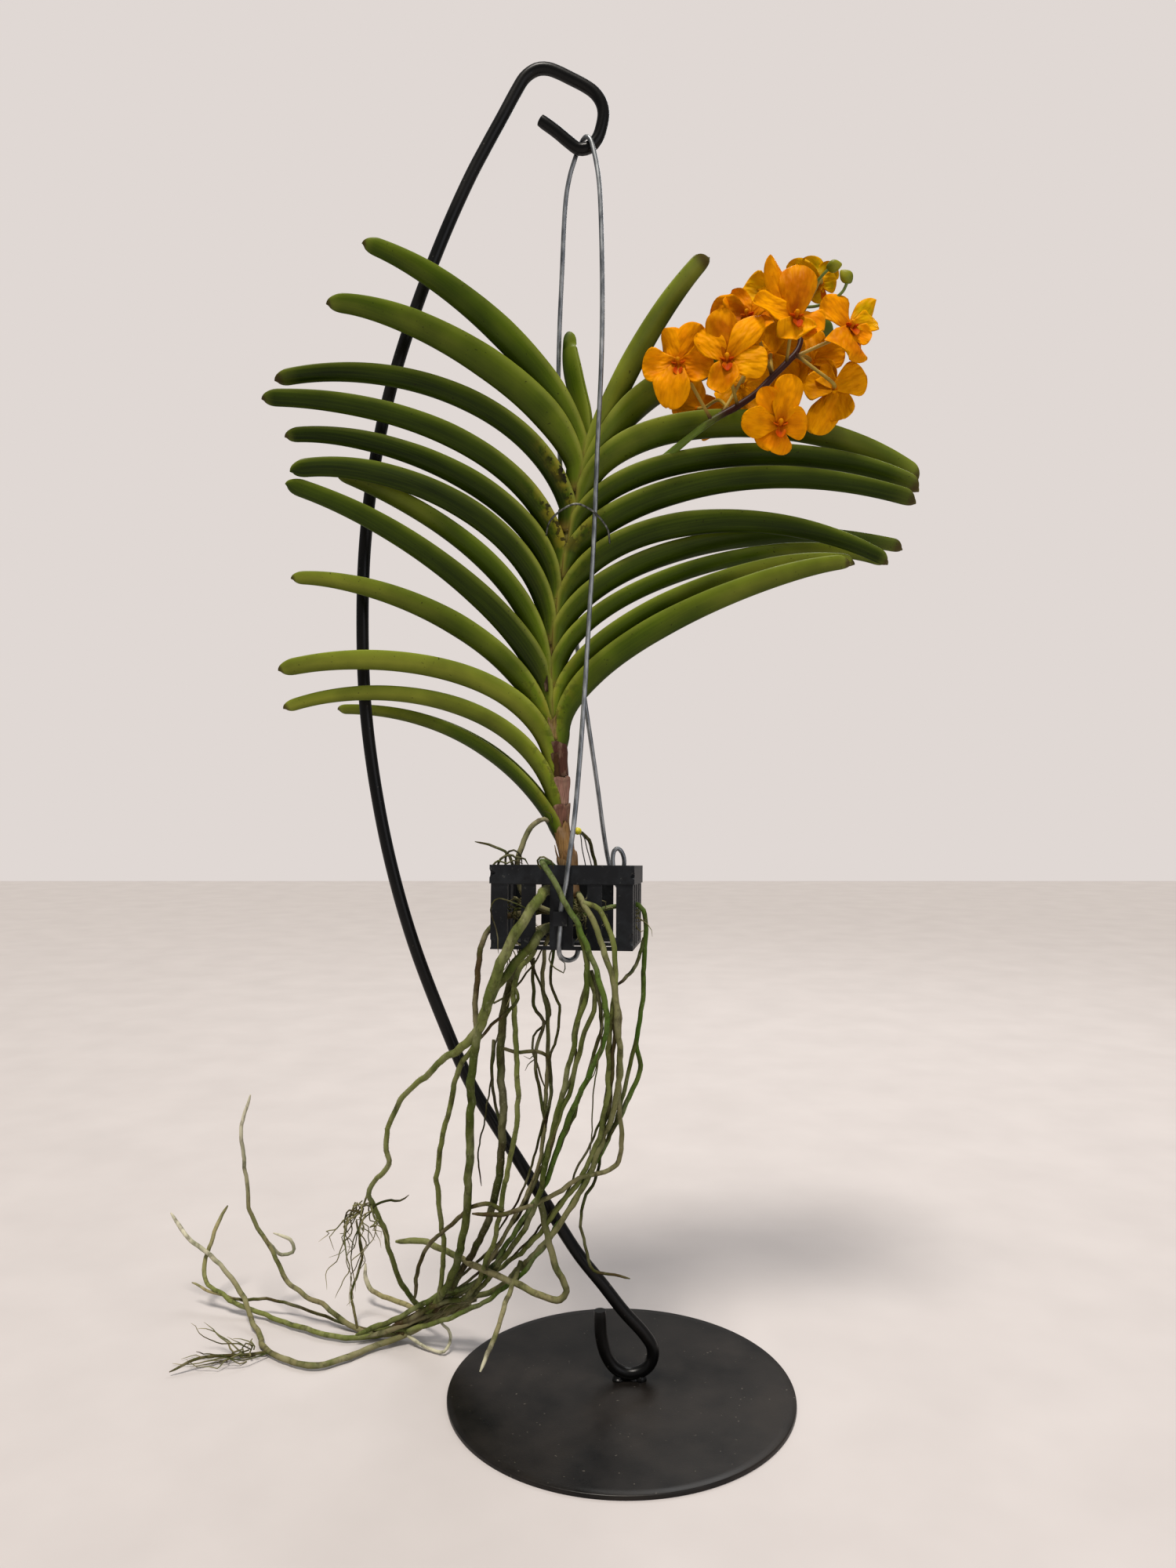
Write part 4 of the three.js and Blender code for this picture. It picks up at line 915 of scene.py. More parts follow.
def leaf(name, row):
    """One folded strap leaf with the sheath that clasps the stem below it."""
    (foot_z, tip, foot_slope, tip_slope, foot_hold, tip_hold, depth_mid, depth_tip,
     tone, roll, dry, scars) = row
    phase = random.Random(name).uniform(0, 100)
    centred = foot_z > STEM_TOP
    hug = rise(430, 520, foot_z)                    # the lower sheaths lie closer to the stem
    glow = (0.25 + 0.55 * tone) * (1 - 0.8 * rise(470, 600, foot_z))
    faded = 0.5 * (1 - rise(480, 530, foot_z))      # the outer halves of the lower leaves are paler
    end = Vector(tip)
    stem_x = stem_x_at(foot_z)
    side = math.copysign(1, end.x - stem_x)
    foot = Vector((stem_x + side * (CENTRE_OFFSET if centred else FOOT_OFFSET), PLANE_Y,
                   foot_z - (CENTRE_DROP if centred else 0)))
    outward = Vector((side, 0, 0))
    heading = outward if centred else Vector((end.x - foot.x, end.y - foot.y, 0)).normalized()
    chord = (end - foot).length

    def lean(direction, slope):
        return direction * math.cos(math.radians(slope)) + UP * math.sin(math.radians(slope))
    corners = (foot, foot + lean(outward, foot_slope) * foot_hold * chord,
               end - lean(heading, tip_slope) * tip_hold * chord, end)
    end_speed = 3 * tip_hold * chord
    stations = leaf_stations(foot_z, corners, end_speed, side, hug, centred)

    rings = []
    run = 0.0
    before = stations[0][0]
    for centre, along, s in stations:
        run += (centre - before).length
        before = centre
        left = (1 - s) * end_speed if s > 0.5 else FAR_FROM_TIP
        swing = roll * (1 if centred else rise(0.2, 0.7, s)) + 3 * noise.noise(Vector((s * 3, phase, 0)))
        across, over = blade_axes(along, outward if s < 0.5 else heading, -side * swing)
        depth, gape, sunk = blade_size(s, left, depth_mid, depth_tip, side, hug, centred)
        roundness = between(1, 0.85, rise(-0.05, 0.24, s))
        ring = []
        for number, (u, aside, lifted) in enumerate(leaf_section(depth, gape, roundness)):
            is_inside = number >= len(SECTION)
            is_edge = number in (len(SECTION), 2 * len(SECTION) + 1)
            wave = 0.35 * abs(u) * noise.noise(Vector((run * LEAF_UNEVEN, u, phase)))
            lobe = 0 if centred else 1.1 * (abs(u) - 0.5 + 0.5 * u) * (1 - rise(0, 6, left))
            point = (centre + across * (aside + wave) + over * (lifted - depth / 2 - sunk)
                     + along * lobe)
            worn = scars * rise(-0.1, 0.03, s) * (1 - rise(0.1, 0.26, s)) * rise(0.25, 0.9, abs(u))
            mottle = noise.noise(Vector((run * LEAF_UNEVEN, u * 1.6, phase + 9))) * (0.1 + 0.4 * tone ** 3)
            fading = rise(-0.9, 0.4, noise.noise(Vector((run * 0.02, phase, 3))))
            mottle += faded * rise(0.4, 0.85, s) * fading
            ring.append((point, leaf_paint(tone + mottle, dry, glow, s, left, u, is_inside, is_edge),
                         (u * math.hypot(depth, gape), run, worn)))
        rings.append(ring)
    return lofted(name + "_blade", rings, LEAF)


for leaf_name, leaf_row in LEAVES.items():
    stands_for(leaf(leaf_name, leaf_row), "leaf_green", leaf_name)

# ---------------------------------------------------------------- blooms
# Each bloom: its hub, the way it faces (turn to the right and lift, in degrees), and its
# tepals as the tip's place to the right of and above the hub, the width, and a tone from
# -1 dark orange to 1 yellow. The dark tones are partly painted shade.
BLOOMS = {
    "bloom_01": ((37, -26, 677), -18, 0, [
        (-8, 23, 16, 0.3), (14, 22, 22, 0.1), (-24, -2, 20, 0.2), (-8, -28, 22, 0.3), (19.5, -5, 21, -0.1)]),
    "bloom_02": ((66, -40, 674), -8, 5, [
        (-4, 32, 21, -0.6), (21, 28, 16, 0.4), (24, -3, 21, 0.6), (-4, -22, 20, -0.5), (-18, 19, 16, 0.3)]),
    "bloom_03": ((110, -36, 703), 5, 5, [
        (-17, 37, 16, 0.2), (1, 33, 23, -0.5), (-28, 7, 18, 0.5), (0, -16, 25, 0.7), (18, -8, 22, 0)]),
    "bloom_04": ((84, -10, 714), -28, 10, [
        (-25, 6, 23, -0.3), (-11, 17, 18, -0.2), (-14, -14, 18, 0.2), (9, -15, 17, 0), (13, 12, 16, 0.1)]),
    "bloom_05": ((103, 3, 732), -20, 6, [
        (-21, 9, 20, 1), (-4, 17, 17, 0.6), (-13, -14, 18, 0), (14, -12, 18, 0), (16, 11, 17, 0.4)]),
    "bloom_06": ((100, -36, 635), 0, -10, [
        (-12.2, 21, 14, 0.1), (6, 28, 18, 0.3), (17, 0, 19, 0.1), (-25, 1, 18, 0.3), (-6, -17, 23, -0.1)]),
    "bloom_07": ((150, -12, 706), 20, 14, [
        (-16, 20, 20, 0.2), (18.5, 20.5, 12, 1.2), (22, 8, 14, 1), (-3, -23, 29, -0.4), (13, -9, 14, 0.1)]),
    "bloom_08": ((134, 2, 741), 165, 6, [
        (-21, 14, 18, 1.3), (-12, 17, 18, 1.6), (6, 13, 15, 1.7), (-8, -7, 17, 1.5), (10, 1, 13, 1.7)]),
    "bloom_09": ((142, -4, 669), 158, -5, [
        (19.8, 8, 21, 0.1), (5, -21, 20, -0.2), (-12.7, -29, 20, 0), (-8, 17, 12, 0.4), (-17, 5, 20, -0.6)]),
    # Blooms 10 to 13 sit at the back and are given dark tones as painted shade.
    "bloom_10": ((54, 33, 667), -150, 10, [
        (0, 20, 18, -0.6), (18, 4, 18, -0.4), (-18, 4, 18, -0.5), (12, -16, 17, -0.3), (-12, -16, 17, -0.4)]),
    "bloom_11": ((104, 26, 702), 170, 20, [
        (1.2, 25, 20, -0.9), (23, 7, 22, -0.7), (-23, 7, 21, -0.8), (16, -18, 22, -0.6),
        (-16, -18, 21, -0.8)]),
    "bloom_12": ((84, 24, 682), 180, -10, [
        (0, 22, 18, -0.9), (20, 6, 19, -0.5), (-20, 6, 19, -0.7), (14, -17, 18, -0.5), (-14, -17, 18, -0.6)]),
    "bloom_13": ((132, 26, 698), 150, 0, [
        (0, 23, 20, 0.1), (21, 6, 20, -0.2), (-21, 6, 20, -0.6), (15, -18, 20, -0.5), (-15, -18, 20, -0.6)]),
}
TEPAL_STEPS = (0, 0.07, 0.15, 0.25, 0.36, 0.47, 0.58, 0.68, 0.77, 0.85, 0.91, 0.955, 0.985, 1)
TEPAL_COLUMNS = (-1, -0.86, -0.62, -0.33, 0, 0.33, 0.62, 0.86, 1)
TEPAL_WIDEST = 0.62     # share of its length at which a tepal is widest
TEPAL_FULLNESS = 1.08   # how much wider the frilled tepals are than they look
TEPAL_ORANGE = tint("EA8600")
TEPAL_BRIGHT = tint("FAA600")
TEPAL_YELLOW = tint("DDA600")
TEPAL_GREEN = tint("8C9200")
# Dark orange that is also painted shade, on the blooms at the back and along each tepal's middle.
TEPAL_DARK_AND_SHADE = tint("8C4200")
# Painted shade for the throat of each flower, where the tepals close in.
TEPAL_THROAT_SHADE = tint("9C3C00")
LIP_RED = tint("96240A")
LIP_EDGE = tint("CC4804")
CAP_YELLOW = tint("D88C06")


def facing(turn, lift):
    """The way a bloom looks: turn is to the right of the front, and lift is up."""
    a, b = math.radians(turn), math.radians(lift)
    return Vector((math.sin(a) * math.cos(b), -math.cos(a) * math.cos(b), math.sin(b)))


def tepal_outline(v):
    """Half width as a share of its most, along a tepal with a narrow claw and a round end."""
    if v < TEPAL_WIDEST:
        return 0.24 + 0.76 * math.sin(math.pi / 2 * v / TEPAL_WIDEST) ** 1.2
    return math.sqrt(max(0.0004, 1 - ((v - TEPAL_WIDEST) / (1.002 - TEPAL_WIDEST)) ** 2.2))


def tepal_paint(tone, u, v, is_back):
    """Colour of a point of a tepal; v is the share of its length, and u of its half width."""
    if tone > 0:
        base = between(TEPAL_ORANGE, TEPAL_BRIGHT, tone * 2)
    else:
        base = between(TEPAL_ORANGE, TEPAL_DARK_AND_SHADE, -tone)
    if tone > 0.5:
        base = between(base, TEPAL_YELLOW, tone * 2 - 1)
    if tone > 1:
        base = between(base, TEPAL_GREEN, (tone - 1) * 2)
    # Painted shade: darker near the hub, where the tepals close in.
    base = between(base, TEPAL_THROAT_SHADE, 0.65 * (1 - rise(0.05, 0.5, v)))
    # Painted shade: darker along the middle of the lower part, over the crease.
    base = between(base, TEPAL_DARK_AND_SHADE, 0.3 * (1 - rise(0.0, 0.25, abs(u))) * (1 - rise(0.4, 0.9, v)))
    base = between(base, TEPAL_BRIGHT, 0.6 * max(rise(0.55, 1, abs(u)), rise(0.7, 1, v)))
    return between(base, TEPAL_YELLOW, 0.4) if is_back else base


def tepal(skin, hub, tip, width, face, shape, paint):
    """One tepal from the hub to its tip; shape gives layer, recurve, arch, ripple, twist, phase."""
    layer, recurve, arch, ripple, twist, phase = shape
    length = tip.length
    out = tip.normalized()
    across = face.cross(out).normalized()
    front = out.cross(across).normalized()
    if front.dot(face) < 0:
        front.negate()
    rings = []
    for v in TEPAL_STEPS:
        half = width / 2 * tepal_outline(v) * (1 + 0.05 * math.sin(9 * v + phase))
        bowed = length * recurve * (v - 1.25 * v * v)
        middle = hub + out * length * v + front * (layer + bowed)
        turn = Quaternion(out, math.radians(twist) * v)
        aside, ahead = turn @ across, turn @ front
        thick = 0.4 - 0.12 * v
        ring = []
        for is_back in (False, True):
            side = []
            for u in TEPAL_COLUMNS:
                folds = ripple * abs(u) ** 1.5 * math.sin(v * 7.5 + phase + (1.7 if u > 0 else 0))
                crease = -0.5 * math.exp(-(u * 5) ** 2) * (1 - v)
                forward = folds * rise(0.1, 0.5, v) - arch * half * u * u + crease
                forward += -thick if is_back else thick
                side.append((middle + aside * half * u + ahead * forward,
                             paint(u, v, is_back), (half * u, length * v, 0)))
            ring += side[::-1] if is_back else side
        rings.append(ring)
    skin.loft(rings)


def rounded_bar(skin, points, radii, paint, sides=12):
    """A smooth bar with a radius at each point, for the small solid parts of a flower."""
    points = [Vector(point) for point in points]
    along = (points[-1] - points[0]).normalized()
    across = along.orthogonal().normalized()
    other = along.cross(across)
    skin.loft([circle(point, across, other, radius, sides, paint)
               for point, radius in zip(points, radii)])


def bloom_centre(skin, hub, face, seeded):
    """Column with its anther cap, a lip with a tongue and two side lobes, and the spur behind."""
    right = face.cross(UP).normalized() * -1
    top = right.cross(face) * -1
    if top.z < 0:
        top.negate()

    def at(front, aside, lift):
        return hub + face * front + right * aside + top * lift
    # The column is coloured from the throat's painted shade mixed with orange.
    rounded_bar(skin, [at(-2, 0, -0.3), at(0, 0, 0), at(2.2, 0, 0.5), at(4, 0, 1), at(4.7, 0, 1.1)],
                [1.4, 2.3, 2, 1.9, 1.2], between(TEPAL_THROAT_SHADE, TEPAL_ORANGE, 0.4))
    rounded_bar(skin, [at(4.2, 0, 1.3), at(4.9, 0, 1.4), at(5.5, 0, 1.3), at(5.9, 0, 1.1)],
                [1.3, 1.5, 1.1, 0.3], CAP_YELLOW)
    rounded_bar(skin, [at(1, 0, -1.5), at(-1.5, 0, -3.2), at(-4.2, 0, -4.6), at(-6.6, 0, -4.9)],
                [1.5, 1.3, 1.1, 0.4], between(TEPAL_ORANGE, TEPAL_YELLOW, 0.5))

    def lip_paint(u, v, _):
        return between(LIP_RED, LIP_EDGE, rise(0.3, 1, v) * 0.7 + 0.3 * abs(u))
    tongue = face * 4.6 - top * 7.6
    tepal(skin, at(1, 0, -1.2), tongue, 6.2, (face * 0.8 + top * 0.7).normalized(),
          (0, 0.25, -0.35, 0.3, seeded.uniform(-8, 8), 1), lip_paint)
    for side in (-1, 1):
        lobe = face * 3.6 + right * side * 2.6 + top * 1.2
        tepal(skin, at(1, side * 1.4, -1.4), lobe, 3.6, (top - right * side * 0.6).normalized(),
              (0, 0.1, -0.2, 0.1, 0, 2), lip_paint)


def bloom(name, row):
    """One open flower; how its tepals bend, ripple and twist is drawn from its name."""
    place, turn, lift, tepals = row
    seeded = random.Random(name)
    hub = Vector(place)
    face = facing(turn, lift)
    skin = Skin()
    for number, (right, above, width, tone) in enumerate(tepals):
        width *= TEPAL_FULLNESS
        reach = math.hypot(right, above)
        cup = 0.12 + seeded.uniform(-0.05, 0.08)
        depth = (cup * reach - right * face.x - above * face.z) / face.y
        tip = Vector((right, max(-reach * 0.8, min(reach * 0.8, depth)), above))
        layer = 0.8 if number % 2 else -0.6
        shape = (layer, seeded.uniform(-0.2, 0.55), seeded.uniform(-0.45, 0.5),
                 width * seeded.uniform(0.07, 0.15), seeded.uniform(-30, 30), seeded.uniform(0, 6))
        tepal(skin, hub, tip, width, face, shape, lambda u, v, b, tone=tone: tepal_paint(tone, u, v, b))
    bloom_centre(skin, hub, face, seeded)
    return skin.finish(name + "_tepals", PETAL)


for bloom_name, bloom_row in BLOOMS.items():
    stands_for(bloom(bloom_name, bloom_row), "bloom_orange", bloom_name)

# ---------------------------------------------------------------- flower spike
SPIKE_LINE = [
    (-24, 10, 593), (-14, 10, 604), (0, 11, 611), (12, 12, 617), (23, 11, 622.5), (34, 5, 629),
    (45, -3, 636), (54, -6, 642.5), (61, -7, 647), (67, -7, 650.5), (77, -7, 656), (90, -8, 665),
    (100, -8, 675), (109, -8, 684), (116, -7, 692), (119, -5, 700), (119, -2, 710), (119, -1, 720),
    (121, -1, 729), (125, -3, 736),
]
SPIKE_RADII = (2.4, 2.5, 2.5, 2.3, 2.3, 2.2, 1.8, 1.2)
PEDICEL_ROOTS = (
    (60, -7, 646), (77, -7, 656), (109, -8, 684), (100, -8, 675), (119, -4, 706), (90, -8, 665),
    (112, -8, 687), (119, -1, 716), (115, -8, 690), (72, -7, 653), (100, -8, 675), (66, -7, 650),
    (115, -8, 690),
)
STALK_GREEN = tint("62782A")
STALK_PURPLE = tint("34130A")
PEDICEL_PALE = tint("A88E3C")
BUD_STALK = tint("6A7A38")
BUD_GREEN = tint("5E6A0C")
BUD_TIP = tint("A09A1C")
PEDICEL_RADIUS = 1.15
BUD_STALK_RADIUS = 1.0
BUD_ROWS = 12
BUD_SIDES = 24


def flower_spike():
    """The stalk, the flowers' own stalks, swollen at both ends, and the stalks of two buds."""
    lines = Lines()
    stalk = through(SPIKE_LINE, 2)
    lines.line(stalk, lambda share: along_table(SPIKE_RADII, share)
               * (1 + 0.05 * math.sin(share * 60)) * (0.5 if share == 1 else 1),
               lambda share: between(between(STALK_GREEN, STALK_PURPLE, rise(0.42, 0.52, share)),
                                     BUD_STALK, 0.7 * rise(0.86, 0.96, share)),
               lambda share: rise(0.35, 0.5, share))
    for (name, (place, turn, lift, _)), start in zip(BLOOMS.items(), PEDICEL_ROOTS):
        face = facing(turn, lift)
        end = Vector(place) - face * 2.2
        before = end - face * 6
        middle = Vector((66, 14, 667)) if name == "bloom_10" else Vector(start).lerp(before, 0.55)
        lines.line(through([start, middle, before, end], 2),
                   lambda share: (PEDICEL_RADIUS + 0.45 * rise(0.75, 1, share)
                                  + 0.5 * (1 - rise(0, 0.12, share))),
                   lambda share: between(STALK_PURPLE, PEDICEL_PALE, rise(0.02, 0.25, share)))
    for route in ([(124, -3, 734), (129, -7, 738), (133.5, -11, 742), (138, -13, 746)],
                  [(120, -1, 724), (129, -6, 722.5), (138, -10, 724.5), (145, -13, 729), (148, -14, 735)]):
        lines.line(through(route, 1.5), lambda share: BUD_STALK_RADIUS, lambda share: BUD_STALK)
    return lines.finish("spike_stalks", STALK, 10)


def bud(name, centre, lean, size):
    """A closed bud: three overlapping folds that come together at a blunt tip."""
    axis = Vector(lean).normalized()
    aside = axis.orthogonal().normalized()
    other = axis.cross(aside)
    rings = []
    for row in range(BUD_ROWS + 1):
        v = row / BUD_ROWS
        radius = size * math.sin(math.pi * (0.03 + 0.94 * v)) ** 0.75 * (1.05 - 0.3 * v)
        ring = []
        for i in range(BUD_SIDES):
            a = i * math.tau / BUD_SIDES
            folded = 1 + 0.09 * math.cos(3 * a + v * 1.5)
            ring.append((Vector(centre) + axis * size * 2.3 * (v - 0.5)
                         + (aside * math.cos(a) + other * math.sin(a)) * radius * folded,
                         between(BUD_GREEN, BUD_TIP, 0.8 * v), (radius * a, v * 9, 0)))
        rings.append(ring)
    return lofted(name, rings, STALK)


stands_for(flower_spike(), "spike_green", "flower_spike")
stands_for(bud("upper_bud", (139.5, -13, 746), (0.9, -0.2, 0.1), 4.4), "spike_green")
stands_for(bud("lower_bud", (147, -14, 738.5), (-0.8, -0.3, 0.7), 4.6), "spike_green")

# ---------------------------------------------------------------- roots
GREY_GREEN = tint("727840")
DARK_GREEN = tint("42601A")
OLIVE = tint("4A5220")
GREY_TAN = tint("7C7454")
BROWN = tint("43341E")
DARK_BROWN = tint("2A2010")
PALE = tint("9C9168")
WHITE = tint("CDC8B0")
ARCH_TAN = tint("857C60")
PALE_OLIVE = tint("7A7850")
LOW_ON_FLOOR = 10       # below this height in mm a root lies on the floor and only wavers sideways
ROOT_STEP = 3.5
ROOT_WANDER = 0.9
ROOT_PHASE = 3.7        # how far apart in the noise two roots are, so that each wavers in its own way
FINE_ROOT_PHASE = 5.3
